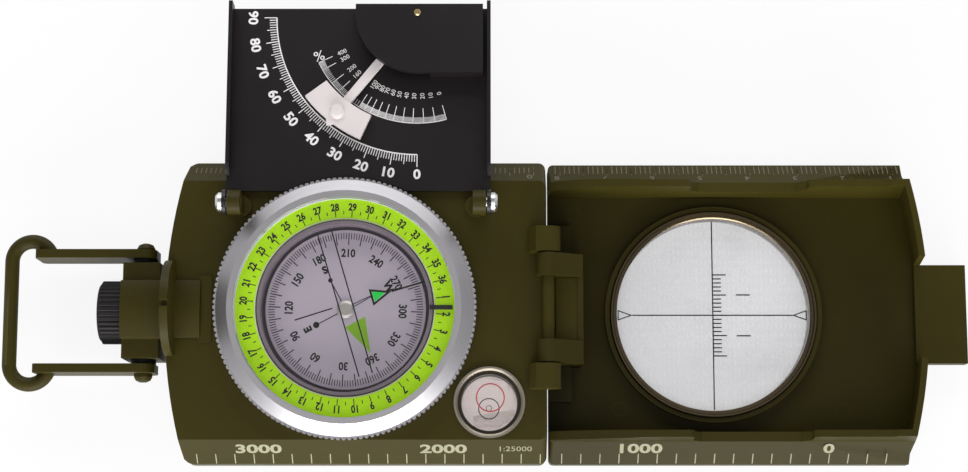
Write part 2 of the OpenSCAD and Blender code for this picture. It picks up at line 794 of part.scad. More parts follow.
module clinometer_screws() color("#d4d6d8") for (side = [0, 1]) {
  face = side == 0 ? plate_x0 : plate_x1;
  turn = side == 0 ? 90 : -90;
  translate([face, fold_y, fold_z]) rotate([0, turn, 0]) rotate_extrude() polygon([
    [0, sheet_t + side_gap + post_t - clear_gap], [ear_screw_r, sheet_t + side_gap + post_t - clear_gap],
    [ear_screw_r, sheet_t + side_gap], [ear_shoulder_r, sheet_t + side_gap],
    [ear_shoulder_r, -run_gap], [ear_head_r, -run_gap], [ear_head_r, 0.5 - ear_head_t],
    [ear_head_r - 0.5, -ear_head_t], [0, -ear_head_t]
  ]);
}

// Side view of an ear and its leg down to the sheet, then the lip beyond the
// gap where the closed lid's wall comes down
module plate_ear_profile() {
  low = -sheet_drop - sheet_t;
  difference() {
    union() {
      circle(ear_r);
      polygon([
        [-ear_r + 0.05, -0.3], [0.5, low], [near_edge + 0.4, low], [near_edge + 0.4, -sheet_drop],
        [near_edge - 0.5, -sheet_drop], [ear_r - 0.02, -0.3]
      ]);
    }
    circle(ear_shoulder_r + run_gap);
  }
}

module plate_lip_profile() {
  low = -sheet_drop - sheet_t;
  polygon([
    [lip_start, low], [lip_end, low], [lip_end, -sheet_drop + lip_h],
    [lip_start + 2, -sheet_drop + lip_h - 0.4], [lip_start, -sheet_drop + 0.2]
  ]);
}

module clinometer_plate() color("#2c292b") difference() {
  on_plate() difference() {
    union() {
      translate([plate_x0, near_edge, -sheet_drop - sheet_t])
        cube([plate_w, plate_len - near_edge, sheet_t]);
      for (x = [plate_x0, plate_x1 - sheet_t]) {
        along_x(x, x + sheet_t) plate_ear_profile();
        along_x(x, x + sheet_t) plate_lip_profile();
      }
    }
    translate([axle_px, axle_py, 0]) rod_z(-sheet_drop - 2, 0, axle_r + 0.02);
  }
  rod_z(deck_z - 2, bezel_top, bezel_r + 0.5);
}

module cover_outline(grow) {
  union() {
    intersection() {
      circle(cover_r + grow);
      translate([-cover_r - over, -cover_r - over]) square(cover_r + over);
    }
    translate([-0.01, -cover_r - grow])
      square([cover_right + grow, cover_r + cover_back + 2 * grow]);
    translate([-cover_r - grow, -0.01]) square([cover_r + grow, cover_back + grow]);
  }
}

module pendulum_cover() color("#2a2729") at_axle() translate([0, 0, -sheet_drop]) difference() {
  linear_extrude(cover_h) cover_outline(0);
  translate([0, 0, -0.01]) linear_extrude(cover_h - cover_wall + 0.01) cover_outline(-cover_wall);
  translate([-cover_r - over, -cover_r - over, -0.01])
    cube([cover_r + bob_out / 8, cover_r + over + bob_hub_r + run_gap, cover_mouth_h]);
  rod_z(0, cover_h + over, axle_r + 0.02);
}

// Annular weight with a pointer tip, centred on the direction of the reading
module bob_outline() {
  difference() {
    union() {
      intersection() {
        circle(bob_out, $fn = 180);
        scale(1.5 * bob_out) polygon([
          [0, 0], [-sin(bob_half), -cos(bob_half)], [sin(bob_half), -cos(bob_half)]
        ]);
      }
      polygon([[-bob_point_hw, -bob_out + 0.2], [0, -bob_tip], [bob_point_hw, -bob_out + 0.2]]);
    }
    circle(bob_in);
  }
}

module pendulum() color("#d2d0cc") at_axle() rotate([0, 0, -reading]) difference() {
  union() {
    translate([0, 0, bob_z]) linear_extrude(bob_t) bob_outline();
    translate([0, 0, bob_z]) linear_extrude(bob_arm_t) {
      circle(bob_hub_r);
      translate([-bob_arm_hw, -bob_in - 0.6]) square([2 * bob_arm_hw, bob_in]);
    }
  }
  rod_z(bob_z - over, 0, axle_r + run_gap);
  translate([0, -bob_rivet_at, 0]) rod_z(bob_z - over, 0, rivet_r + 0.02);
}

module pendulum_rivet() color("#dddbd6") at_axle() rotate([0, 0, -reading])
  translate([0, -bob_rivet_at, 0]) rotate_extrude() polygon([
    [0, bob_z - 0.1], [rivet_r, bob_z - 0.1], [rivet_r, bob_z + bob_t + 0.01],
    [rivet_head_r, bob_z + bob_t + 0.01], [rivet_head_r - 0.05, bob_z + bob_t + 0.4],
    [rivet_head_r - 0.55, bob_z + bob_t + 0.8], [0, bob_z + bob_t + 0.9]
  ]);

module pendulum_axle() color("#c39a45") at_axle() rotate_extrude() polygon([
  [0, -sheet_drop - sheet_t], [axle_r, -sheet_drop - sheet_t], [axle_r, -sheet_drop + cover_h + 0.15],
  [axle_r - 0.2, -sheet_drop + cover_h + 0.35], [0, -sheet_drop + cover_h + 0.35]
]);

case_body();
tripod_bush();
capsule_pot();
pivot_needle();
index_bar();
bezel_clip();
compass_card();
card_jewel();
card_magnets();
bezel_ring();
crystal();
crystal_gasket();
dial_ring();
level_cup();
level_holder();
level_backing();
level_liquid();
level_window();
eyepiece_housing();
housing_screws();
focus_knob();
lens_cell();
eyepiece_lens();
thumb_bow();
bow_screws();
bow_washers();
hinge_pin();
lid_frame();
lid_window();
window_ring();
clinometer_posts();
clinometer_screws();
clinometer_plate();
pendulum_cover();
pendulum();
pendulum_rivet();
pendulum_axle();
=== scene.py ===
import json
import math

import bpy
from mathutils import Matrix, Vector

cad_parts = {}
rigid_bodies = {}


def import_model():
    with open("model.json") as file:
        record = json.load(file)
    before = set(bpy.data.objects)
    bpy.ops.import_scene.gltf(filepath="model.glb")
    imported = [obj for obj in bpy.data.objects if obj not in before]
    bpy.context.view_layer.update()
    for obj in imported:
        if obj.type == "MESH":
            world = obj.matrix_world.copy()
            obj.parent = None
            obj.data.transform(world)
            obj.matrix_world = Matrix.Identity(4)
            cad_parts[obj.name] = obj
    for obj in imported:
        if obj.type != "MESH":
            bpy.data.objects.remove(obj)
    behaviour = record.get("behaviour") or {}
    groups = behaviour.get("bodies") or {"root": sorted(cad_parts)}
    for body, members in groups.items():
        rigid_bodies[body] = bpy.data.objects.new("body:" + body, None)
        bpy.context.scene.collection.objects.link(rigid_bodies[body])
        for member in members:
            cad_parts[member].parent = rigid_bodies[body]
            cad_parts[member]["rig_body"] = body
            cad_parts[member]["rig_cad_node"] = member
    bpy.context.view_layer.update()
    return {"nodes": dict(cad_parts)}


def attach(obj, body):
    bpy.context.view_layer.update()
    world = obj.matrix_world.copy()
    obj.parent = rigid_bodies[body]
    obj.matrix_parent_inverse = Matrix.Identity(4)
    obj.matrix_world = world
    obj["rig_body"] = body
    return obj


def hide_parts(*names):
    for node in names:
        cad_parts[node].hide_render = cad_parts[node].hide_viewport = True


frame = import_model()

bl_info = {
    "name": "Folding sighting compass",
    "version": (1, 0, 0),
    "blender": (4, 5, 0),
    "location": "View3D > Sidebar > Compass",
    "description": "Dresses the packed compass with softened castings, printed scales and finishes",
    "category": "Object",
}

MM = 0.001

# How deep a print is let into its surface and how far it stands proud, in millimetres
SINK = 0.01
PROUD = 0.03

# Places that the CAD part fixes, in millimetres
RING_Z = 16.4
CARD_Z = 13.0
CRYSTAL_Z = 17.4
LEVEL = (29.6, -19.2)
LEVEL_LIQUID = 12.2
WINDOW = (76.7, 0.0, 2.7)
FOLD = (0.0, 21.2, 20.2)
SHEET_TOP = -4.9
AXLE = (14.6, 40.9)
OUTER_SIDE = 31.3

# The rest pose: the plate's slope, and where the card's north stands clockwise from +Y, in degrees
PLATE_SLOPE = 3.0
HEADING = 152.0

# How much higher than the CAD lid's the photo shows the lid's ruler bevels, in millimetres
LID_RAISE = 2.2

# Foot and head of the ruler bevels: distance from the middle and height, in millimetres
CASE_BEVEL = ((31.5, 8.5), (26.8, 14.0))
LID_BEVEL = ((31.5, 4.0 + LID_RAISE), (27.0, 8.4 + LID_RAISE))

# Radius of the rounding of the castings' upright corners, in millimetres
CORNER_ROUND = 1.4

# The lid's side walls: where their sweep starts and ends, its heights there, and the x up to which
# the CAD lid's rims are moved to it, in millimetres
SWEEP_START = 41.95
SWEEP_END = 60.7
SWEEP_LAST = 61.75
SWEEP_LOW = 12.2
SWEEP_TOP = 17.5

# The gap that frees the root of the lid's tab: its middle and size, in millimetres
TAB_GAP = (116.2, 0, 4.5)
TAB_GAP_SIZE = (5.8, 20.8, 3.0)

# The web between the lid's hinge lugs: its middle, size, top heights and pin mark, in millimetres
WEB = (45.6, 0, 6.2)
WEB_SIZE = (4.8, 13.4, 6.6)
WEB_LOW = 13.4
WEB_HIGH = 14.2
WEB_MARK = (45.9, 1.0, 13.82)

# Marks of the mould on the lid's floor, in millimetres
PIN_MARKS = ((47.6, 21.3), (56.9, -19.8), (103.8, -20.2), (103.2, 20.4))
PARTING_LINE = ((99.2, -0.2), (117.0, -0.2))

# The dial ring's first division, in degrees clockwise from +Y
DIAL_START = 73.9

# The clinometer's scales: radii of their lines and width of a fine line, in millimetres
DEGREE_RADIUS = 29.7
PERCENT_RADIUS = 22.95
FINE_LINE = 0.16

# The percent scale starts LEAN degrees before straight down and runs STRETCH times as wide as its angles
LEAN = 15.3
STRETCH = 1.053

# Heights of the rulers' figures, in millimetres
MAP_FIGURE = 2.6
MAP_RATIO_FIGURE = 1.4


# Modelling helpers

def loose():
    """Leaves every object unselected and Blender in object mode."""
    if bpy.context.object is not None and bpy.context.object.mode != "OBJECT":
        bpy.ops.object.mode_set(mode="OBJECT")
    bpy.ops.object.select_all(action="DESELECT")


def pick(*objects):
    """Selects these objects alone, with the first one active."""
    loose()
    for each in objects:
        each.select_set(True)
    bpy.context.view_layer.objects.active = objects[0]
    return objects[0]


def settle(obj, matrix=None):
    """Puts the object's place into its mesh."""
    pick(obj)
    if matrix is not None:
        obj.matrix_world = matrix @ obj.matrix_world
        bpy.context.view_layer.update()
    bpy.ops.object.transform_apply(location=True, rotation=True, scale=True)
    return obj


def joined(name, pieces, matrix=None):
    """Several meshes as one, named, with its place in its mesh."""
    pick(*pieces)
    if len(pieces) > 1:
        bpy.ops.object.join()
    obj = bpy.context.object
    obj.name = name
    obj.data.name = name
    return settle(obj, matrix)


def edit(obj):
    """Edit mode on one object, with all of it selected."""
    pick(obj)
    bpy.ops.object.mode_set(mode="EDIT")
    bpy.ops.mesh.select_mode(type="VERT")
    bpy.ops.mesh.select_all(action="SELECT")


def applied(obj, kind, **values):
    """Adds one modifier with these values and applies it."""
    pick(obj)
    modifier = obj.modifiers.new(kind.lower(), kind)
    for key, value in values.items():
        setattr(modifier, key, value)
    bpy.ops.object.modifier_apply(modifier=modifier.name)
    return obj


def outward(obj):
    """Merges doubles and turns every face outwards."""
    edit(obj)
    bpy.ops.mesh.remove_doubles(threshold=1e-7)
    bpy.ops.mesh.normals_make_consistent(inside=False)
    bpy.ops.object.mode_set(mode="OBJECT")
    return obj


def thick(obj):
    """Gives a flat mesh in the XY plane the thickness of a print."""
    applied(obj, "SOLIDIFY", thickness=(SINK + PROUD) * MM, offset=1.0)
    outward(obj)
    lowest = min(v.co.z for v in obj.data.vertices)
    return settle(obj, Matrix.Translation((0, 0, -SINK * MM - lowest)))


def block(middle, size):
    """A box about a point, in millimetres."""
    loose()
    bpy.ops.mesh.primitive_cube_add(size=1, location=[c * MM for c in middle])
    obj = bpy.context.object
    obj.scale = [c * MM for c in size]
    return settle(obj)


def line(start, end, width):
    """A thin raised stroke between two points of the XY plane, in millimetres."""
    a, b = Vector((*start, 0.0)), Vector((*end, 0.0))
    along = b - a
    loose()
    bpy.ops.mesh.primitive_cube_add(
        size=1,
        location=(*((a + b) / 2 * MM)[:2], (PROUD - SINK) / 2 * MM),
        rotation=(0, 0, math.atan2(along.y, along.x)),
    )
    obj = bpy.context.object
    obj.scale = (along.length * MM, width * MM, (PROUD + SINK) * MM)
    return settle(obj)


def spoke(angle, inner, outer, width, centre=(0.0, 0.0)):
    """A radial stroke, with its angle clockwise from +Y."""
    way = Vector((math.sin(math.radians(angle)), math.cos(math.radians(angle))))
    middle = Vector(centre)
    return line(middle + way * inner, middle + way * outer, width)


def fanned(obj, count, step, centre=(0.0, 0.0)):
    """Copies of a stroke turned about a centre, one every step degrees clockwise."""
    if count > 1:
        edit(obj)
        bpy.ops.mesh.spin(
            steps=count - 1,
            dupli=True,
            angle=math.radians(step * (count - 1)),
            center=(centre[0] * MM, centre[1] * MM, 0),
            axis=(0, 0, 1),
        )
        bpy.ops.object.mode_set(mode="OBJECT")
    return obj


def repeated(obj, count, pitch):
    """Copies of a stroke along +X, one every pitch millimetres."""
    return applied(
        obj,
        "ARRAY",
        count=count,
        use_relative_offset=False,
        use_constant_offset=True,
        constant_offset_displace=(pitch * MM, 0, 0),
    )


def hoop(inner, outer, centre=(0.0, 0.0), sides=96):
    """A thin raised ring."""
    loose()
    bpy.ops.mesh.primitive_circle_add(
        vertices=sides, radius=inner * MM, location=(centre[0] * MM, centre[1] * MM, 0)
    )
    obj = settle(bpy.context.object)
    edit(obj)
    bpy.ops.mesh.extrude_region_move()
    grow = outer / inner
    bpy.ops.transform.resize(
        value=(grow, grow, 1), center_override=(centre[0] * MM, centre[1] * MM, 0)
    )
    bpy.ops.object.mode_set(mode="OBJECT")
    return thick(obj)


def shape(points, frame_width=0.0):
    """A thin raised polygon, or only its outline when frame_width is given."""
    loose()
    bpy.ops.mesh.primitive_circle_add(vertices=len(points), radius=MM, fill_type="NGON")
    obj = bpy.context.object
    middle = Vector((sum(p[0] for p in points), sum(p[1] for p in points))) / len(points)
    ordered = sorted(
        points, key=lambda p: math.atan2(p[1] - middle.y, p[0] - middle.x)
    )
    corners = sorted(obj.data.vertices, key=lambda v: math.atan2(v.co.y, v.co.x))
    for corner, point in zip(corners, ordered):
        corner.co = (point[0] * MM, point[1] * MM, 0)
    if frame_width:
        edit(obj)
        bpy.ops.mesh.select_mode(type="FACE")
        bpy.ops.mesh.select_all(action="SELECT")
        bpy.ops.mesh.inset(thickness=frame_width * MM)
        bpy.ops.mesh.delete(type="FACE")
        bpy.ops.object.mode_set(mode="OBJECT")
    return thick(obj)


def dot(radius, centre, sides=24):
    """A thin raised disc with a bevelled rim."""
    loose()
    bpy.ops.mesh.primitive_cylinder_add(
        vertices=sides,
        radius=radius * MM,
        depth=(PROUD + SINK) * MM,
        location=(centre[0] * MM, centre[1] * MM, (PROUD - SINK) / 2 * MM),
    )
    obj = settle(bpy.context.object)
    return applied(obj, "BEVEL", width=0.01 * MM, segments=1)


def lettering(words, height, at, turn=0.0, stretch=1.0, bold=0.0):
    """Raised figures, centred on a point and turned counter-clockwise in degrees."""
    loose()
    bpy.ops.object.text_add()
    text = bpy.context.object
    text.data.body = words
    text.data.size = 1.0
    text.data.offset = bold
    text.data.resolution_u = 3
    text.data.extrude = (PROUD + SINK) / 2 * MM
    bpy.ops.object.convert(target="MESH")
    obj = bpy.context.object
    bpy.ops.object.origin_set(type="ORIGIN_GEOMETRY", center="BOUNDS")
    size = height * MM / obj.dimensions.y
    obj.scale = (size * stretch, size, 1)
    obj.rotation_euler = (0, 0, math.radians(turn))
    obj.location = (at[0] * MM, at[1] * MM, (PROUD - SINK) / 2 * MM)
    return outward(settle(obj))


def polar(angle, radius, centre=(0.0, 0.0)):
    """The point at an angle clockwise from +Y about a centre, in millimetres."""
    a = math.radians(angle)
    return (centre[0] + radius * math.sin(a), centre[1] + radius * math.cos(a))


def bevel_matrix(bevel, side):
    """Carries the XY plane to a ruler bevel on the south (-1) or north (1) side, with Y up from its foot."""
    low, high = (Vector((0, side * out, height)) * MM for out, height in bevel)
    return matrix_of(Vector((-side, 0, 0)), (high - low).normalized(), low)


def matrix_of(x_way, y_way, origin):
    """Carries the XY plane to the one with these X and Y directions and this origin."""
    out = x_way.cross(y_way)
    turned = Matrix((x_way, y_way, out)).transposed().to_4x4()
    return Matrix.Translation(origin) @ turned


def plate_matrix():
    """Carries the XY plane to the clinometer's sheet."""
    return (
        Matrix.Translation(Vector(FOLD) * MM)
        @ Matrix.Rotation(math.radians(-PLATE_SLOPE), 4, "X")
        @ lifted(SHEET_TOP)
    )


def lifted(height):
    """Carries the XY plane up to a height in millimetres."""
    return Matrix.Translation((0, 0, height * MM))


def body_of_node(node):
    """The body that a CAD node rides on."""
    return frame["nodes"][node]["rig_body"]


def dressed(obj, body, material):
    """Gives a finished piece its material and the body that it rides on."""
    obj.data.materials.clear()
    obj.data.materials.append(material)
    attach(obj, body)
    return obj


def printed(name, pieces, place, body, ink):
    """Raised strokes and figures as one print, laid on its surface."""
    return dressed(joined(name, pieces, place), body, finish_of(ink))


def taken(node, name):
    """A merged copy of a CAD node, ready to be shaped."""
    loose()
    source = frame["nodes"][node]
    obj = source.copy()
    obj.data = source.data.copy()
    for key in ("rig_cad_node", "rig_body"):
        del obj[key]
    bpy.context.scene.collection.objects.link(obj)
    obj.parent = None
    obj.matrix_world = Matrix.Identity(4)
    obj.name = name
    obj.data.name = name
    edit(obj)
    bpy.ops.mesh.remove_doubles(threshold=2e-6)
    bpy.ops.mesh.dissolve_limited(angle_limit=math.radians(0.4))
    bpy.ops.mesh.normals_make_consistent(inside=False)
    bpy.ops.object.mode_set(mode="OBJECT")
    return obj


def rounded_corners(obj, last=200.0):
    """Rounds a casting's outer upright corner edges, as far as x = last millimetres."""
    end_corner, least_height, most_lean = 26.4, 2.0, 1.5
    pick(obj)
    bpy.ops.object.mode_set(mode="EDIT")
    bpy.ops.mesh.select_mode(type="EDGE")
    bpy.ops.mesh.select_all(action="DESELECT")
    bpy.ops.object.mode_set(mode="OBJECT")
    spots = [v.co / MM for v in obj.data.vertices]
    for each in obj.data.edges:
        a, b = (spots[k] for k in each.vertices)
        upright = abs(a.z - b.z) > least_height and abs(a.x - b.x) < most_lean
        near, far = sorted((abs(a.y), abs(b.y)))
        outside = near > end_corner and far > OUTER_SIDE
        each.select = upright and outside and max(a.x, b.x) < last
    bpy.ops.object.mode_set(mode="EDIT")
    bpy.ops.mesh.bevel(offset=CORNER_ROUND * MM, segments=4, affect="EDGES", clamp_overlap=True)
    bpy.ops.object.mode_set(mode="OBJECT")


def softened(node, name, width, material, first=None):
    """Stands a copy of a CAD node in for it, with its sharp edges rounded by width millimetres."""
    round_above, smooth_below = 32, 38
    obj = taken(node, name)
    if first:
        first(obj)
    applied(
        obj,
        "BEVEL",
        width=width * MM,
        segments=2,
        limit_method="ANGLE",
        angle_limit=math.radians(round_above),
        use_clamp_overlap=True,
        miter_outer="MITER_ARC",
    )
    pick(obj)
    bpy.ops.object.shade_smooth_by_angle(angle=math.radians(smooth_below))
    applied(obj, "WEIGHTED_NORMAL", keep_sharp=True, weight=80)
    dressed(obj, body_of_node(node), material)
    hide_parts(node)
    return obj


# Materials

class Wire:
    """One socket of a material, with sums written as on plain numbers."""

    def __init__(self, finish, socket):
        self.finish = finish
        self.socket = socket

    def __add__(self, other):
        return self.finish.math("ADD", self, other)

    def __sub__(self, other):
        return self.finish.math("SUBTRACT", self, other)

    def __mul__(self, other):
        return self.finish.math("MULTIPLY", self, other)

    def __truediv__(self, other):
        return self.finish.math("DIVIDE", self, other)

    def __pow__(self, other):
        return self.finish.math("POWER", self, other)

    def __rsub__(self, other):
        return self.finish.math("SUBTRACT", other, self)

    def __rtruediv__(self, other):
        return self.finish.math("DIVIDE", other, self)

    __radd__ = __add__
    __rmul__ = __mul__

    def above(self, low, high):
        """0 below low, 1 above high and a straight ramp between."""
        return self.finish.node(
            "ShaderNodeMapRange",
            {"clamp": True},
            {"Value": self, "From Min": low, "From Max": high, "To Min": 0.0, "To Max": 1.0},
            "Result",
        )


def opaque(value):
    """A colour with its alpha added, or any other value as it is."""
    return (*value, 1.0) if hasattr(value, "__len__") and len(value) == 3 else value


class Nodes:
    """A node tree, and the one method that adds nodes to it."""

    def __init__(self, tree, output):
        self.tree = tree
        self.tree.nodes.clear()
        self.output = self.tree.nodes.new(output)

    def node(self, kind, settings, sockets, out=0):
        made = self.tree.nodes.new(kind)
        for key, value in settings.items():
            setattr(made, key, value)
        for key, value in sockets.items():
            socket = made.inputs[key]
            if isinstance(value, Wire):
                self.tree.links.new(value.socket, socket)
            else:
                socket.default_value = opaque(value)
        return Wire(self, made.outputs[out])

    def math(self, operation, *values):
        return self.node("ShaderNodeMath", {"operation": operation}, dict(enumerate(values)))

    def mixed(self, factor, first, second):
        """One shader over another."""
        return self.node("ShaderNodeMixShader", {}, {0: factor, 1: first, 2: second})

    def finished(self, shader):
        self.tree.links.new(shader.socket, self.output.inputs["Surface"])


class Finish(Nodes):
    """One material and the nodes that make it."""

    def __init__(self, name):
        self.material = bpy.data.materials.new(name)
        self.material.use_nodes = True
        super().__init__(self.material.node_tree, "ShaderNodeOutputMaterial")
        self.spot = self.node("ShaderNodeTexCoord", {}, {}, "Object")

    def noise(self, scale, detail=3.0, roughness=0.5, vector=None, seed=0.0):
        return self.node(
            "ShaderNodeTexNoise",
            {"noise_dimensions": "4D"},
            {
                "Vector": vector or self.spot,
                "W": seed,
                "Scale": scale,
                "Detail": detail,
                "Roughness": roughness,
            },
            "Fac",
        )

    def mix(self, factor, first, second):
        """One colour over another."""
        factor_socket, first_socket, second_socket, colour_out = 0, 6, 7, 2
        return self.node(
            "ShaderNodeMix",
            {"data_type": "RGBA"},
            {factor_socket: factor, first_socket: first, second_socket: second},
            colour_out,
        )

    def axes(self):
        split = self.node("ShaderNodeSeparateXYZ", {}, {"Vector": self.spot}).socket.node
        return [Wire(self, split.outputs[i]) for i in range(3)]

    def radius(self):
        """Distance from the dial's upright axis, in metres."""
        x, y, _ = self.axes()
        return (x ** 2.0 + y ** 2.0) ** 0.5

    def bump(self, height, strength, distance):
        return self.node(
            "ShaderNodeBump",
            {},
            {"Height": height, "Strength": strength, "Distance": distance * MM},
            "Normal",
        )

    def shader(self, colour, roughness, metallic=0.0, normal=None, plain=None):
        values = {"Base Color": colour, "Roughness": roughness, "Metallic": metallic}
        if normal is not None:
            values["Normal"] = normal
        values.update(plain or {})
        return self.node("ShaderNodeBsdfPrincipled", {}, values, "BSDF")

    def through(self, tint):
        return self.node("ShaderNodeBsdfTransparent", {}, {"Color": tint}, "BSDF")

    def done(self, shader):
        self.finished(shader)
        return self.material


def shade(colour, amount):
    """A colour made lighter or darker."""
    return tuple(max(0.0, min(1.0, c * amount)) for c in colour[:3])


def olive_paint(name, colour, painted_shade_amount=0.0):
    """Baked olive paint with a fine grain, a soft mottle and a worn sheen, and, when asked, painted shade
    towards the south and the hinge end.
    """
    f = Finish(name)
    mottle = f.noise(55.0, 4.0, 0.6)
    patch = f.noise(16.0, 2.0, 0.5, seed=3.0)
    speck = f.noise(900.0, 2.0, 0.6, seed=7.0)
    tone = (mottle * 0.6 + patch * 0.4).above(0.25, 0.75)
    base = f.mix(tone, shade(colour, 0.86), shade(colour, 1.14))
    base = f.mix(speck.above(0.62, 0.8) * 0.25, base, shade(colour, 1.5))
    # Painted shade: darker towards -Y and towards x below 75 mm, where the lid's walls shade its floor.
    if painted_shade_amount:
        x, y, _ = f.axes()
        south = (0.0 - y).above(-0.02, 0.024) * 0.8 + (0.0 - x).above(-0.075, -0.045) * 0.6
        base = f.mix(south.above(0.0, 1.3) * painted_shade_amount, base, shade(colour, 0.45))
    peel = f.noise(620.0, 2.0, 0.5, seed=11.0)
    rough = 0.4 + mottle * 0.12 + speck.above(0.5, 0.8) * 0.1
    normal = f.bump(peel, 0.12, 0.05)
    return f.done(f.shader(base, rough, normal=normal, plain={"Specular IOR Level": 0.12}))


def turned_aluminium(name, colour):
    """Satin aluminium with lathe lines about the dial's upright axis."""
    f = Finish(name)
    lines_per_metre, rough = 2600.0, 0.4
    groove = f.node(
        "ShaderNodeTexNoise",
        {"noise_dimensions": "1D"},
        {"W": f.radius() * lines_per_metre, "Scale": 1.0, "Detail": 2.0},
        "Fac",
    )
    grain = f.noise(700.0, 3.0, 0.6)
    cloud = f.noise(60.0, 3.0, 0.5, seed=2.0)
    base = f.mix(cloud.above(0.3, 0.7), shade(colour, 0.92), shade(colour, 1.05))
    base = f.mix(groove.above(0.35, 0.7) * 0.3, base, shade(colour, 0.85))
    roughness = rough + groove * 0.08 + grain * 0.06
    return f.done(f.shader(base, roughness, 1.0, f.bump(groove + grain * 0.4, 0.12, 0.03)))


def plain_metal(name, colour, rough):
    """Plain metal with a faint grain and tarnish."""
    f = Finish(name)
    grain = f.noise(900.0, 3.0, 0.6)
    tarnish = f.noise(120.0, 4.0, 0.6, seed=5.0)
    base = f.mix(tarnish.above(0.35, 0.75), shade(colour, 1.0), shade(colour, 0.72))
    return f.done(f.shader(base, rough + tarnish * 0.18, 1.0, f.bump(grain, 0.05, 0.03)))


def moulded(name, colour, rough=0.45, vary=0.1, painted_glow=0.0):
    """Moulded plastic, rubber or a dry print, with a fine texture and, when asked, a painted glow."""
    f = Finish(name)
    grain = f.noise(1400.0, 3.0, 0.6)
    cloud = f.noise(90.0, 3.0, 0.5, seed=4.0)
    base = f.mix(cloud.above(0.3, 0.7), shade(colour, 1.0 - vary), shade(colour, 1.0 + vary))
    normal = f.bump(grain, 0.08, 0.02)
    plain = {"Specular IOR Level": 0.3}
    # Painted glow: emission that lightens the part beyond what the lamps give.
    if painted_glow:
        plain.update({"Emission Color": base, "Emission Strength": painted_glow})
    return f.done(f.shader(base, rough + grain * 0.12, normal=normal, plain=plain))


def black_sheet(name, colour):
    """Satin black paint on sheet metal, with faint brushing and handling marks."""
    f = Finish(name)
    x, y, z = f.axes()
    long = f.node("ShaderNodeCombineXYZ", {}, {"X": x, "Y": y * 7.0, "Z": z * 7.0})
    brushed = f.noise(260.0, 4.0, 0.65, vector=long)
    cloud = f.noise(45.0, 4.0, 0.6, seed=9.0)
    base = f.mix(cloud.above(0.3, 0.75), shade(colour, 0.85), shade(colour, 1.25))
    rough = 0.3 + brushed * 0.12 + cloud * 0.08
    normal = f.bump(brushed, 0.05, 0.03)
    return f.done(f.shader(base, rough, normal=normal, plain={"Specular IOR Level": 0.34}))


def luminous_paint(name, colour):
    """Bright green luminous paint with a powder grain and a painted glow, darker towards its outer edge."""
    f = Finish(name)
    outer_edge = f.radius().above(0.0212, 0.0233)
    grain = f.noise(1600.0, 3.0, 0.6)
    cloud = f.noise(120.0, 3.0, 0.5, seed=6.0)
    base = f.mix(cloud.above(0.3, 0.7), shade(colour, 0.93), shade(colour, 1.06))
    base = f.mix(outer_edge * 0.35, base, shade(colour, 0.72))
    painted_glow = f.mix(grain.above(0.3, 0.8), shade(colour, 0.9), shade(colour, 1.1))
    # Painted glow: the emission lightens the ring beyond what the lamps give.
    plain = {"Emission Color": painted_glow, "Emission Strength": 0.16, "Specular IOR Level": 0.1}
    return f.done(f.shader(base, 0.5 + grain * 0.15, normal=f.bump(grain, 0.06, 0.02), plain=plain))


def clear_glass(name, tint):
    """Clear polished glass with a few faint smears and specks of dust."""
    f = Finish(name)
    gloss, smudge = 0.22, 0.008
    smear = f.noise(70.0, 5.0, 0.65)
    dust = f.noise(1800.0, 2.0, 0.5, seed=8.0)
    fresnel = f.node("ShaderNodeFresnel", {}, {"IOR": 1.45}, "Fac")
    tone = f.mix(smear, (0.86, 0.87, 0.88), (0.94, 0.95, 0.95))
    coat = f.shader(tone, 0.03 + smear.above(0.5, 0.9) * 0.12, plain={"Specular IOR Level": 0.5})
    cover = fresnel * gloss + smear.above(0.55, 0.85) * smudge + dust.above(0.72, 0.8) * smudge
    return f.done(f.mixed(cover, f.through(tint), coat))


def film_window(name):
    """Clear sheet with a thin woven-looking protective film, slightly creased."""
    f = Finish(name)
    x, y, _ = f.axes()
    ripple = f.noise(40.0, 3.0, 0.6) * 6.0
    across, along = 6400.0, 3200.0
    warp = f.math("SINE", x * across + ripple) * 0.5 + 0.5
    weft = f.math("SINE", y * along + ripple) * 0.5 + 0.5
    weave = warp * weft
    crease = f.noise(28.0, 5.0, 0.7, seed=4.0)
    tone = f.mix(weave, (0.74, 0.735, 0.75), (0.80, 0.79, 0.81))
    skin = f.shader(tone, 0.22 + weave * 0.15, normal=f.bump(weave + crease * 3.0, 0.15, 0.05))
    cover = 0.36 + weave * 0.06 + crease.above(0.5, 0.7) * 0.22
    return f.done(f.mixed(cover, f.through((0.97, 0.97, 0.98)), skin))


def spirit(name):
    """The level's pale liquid, clear with a slight tint."""
    f = Finish(name)
    swirl = f.noise(110.0, 3.0, 0.5)
    body = f.shader(f.mix(swirl, (0.86, 0.86, 0.80), (0.93, 0.93, 0.88)), 0.08)
    return f.done(f.mixed(0.04 + swirl * 0.06, f.through((0.97, 0.96, 0.93)), body))


FINISHES = {}


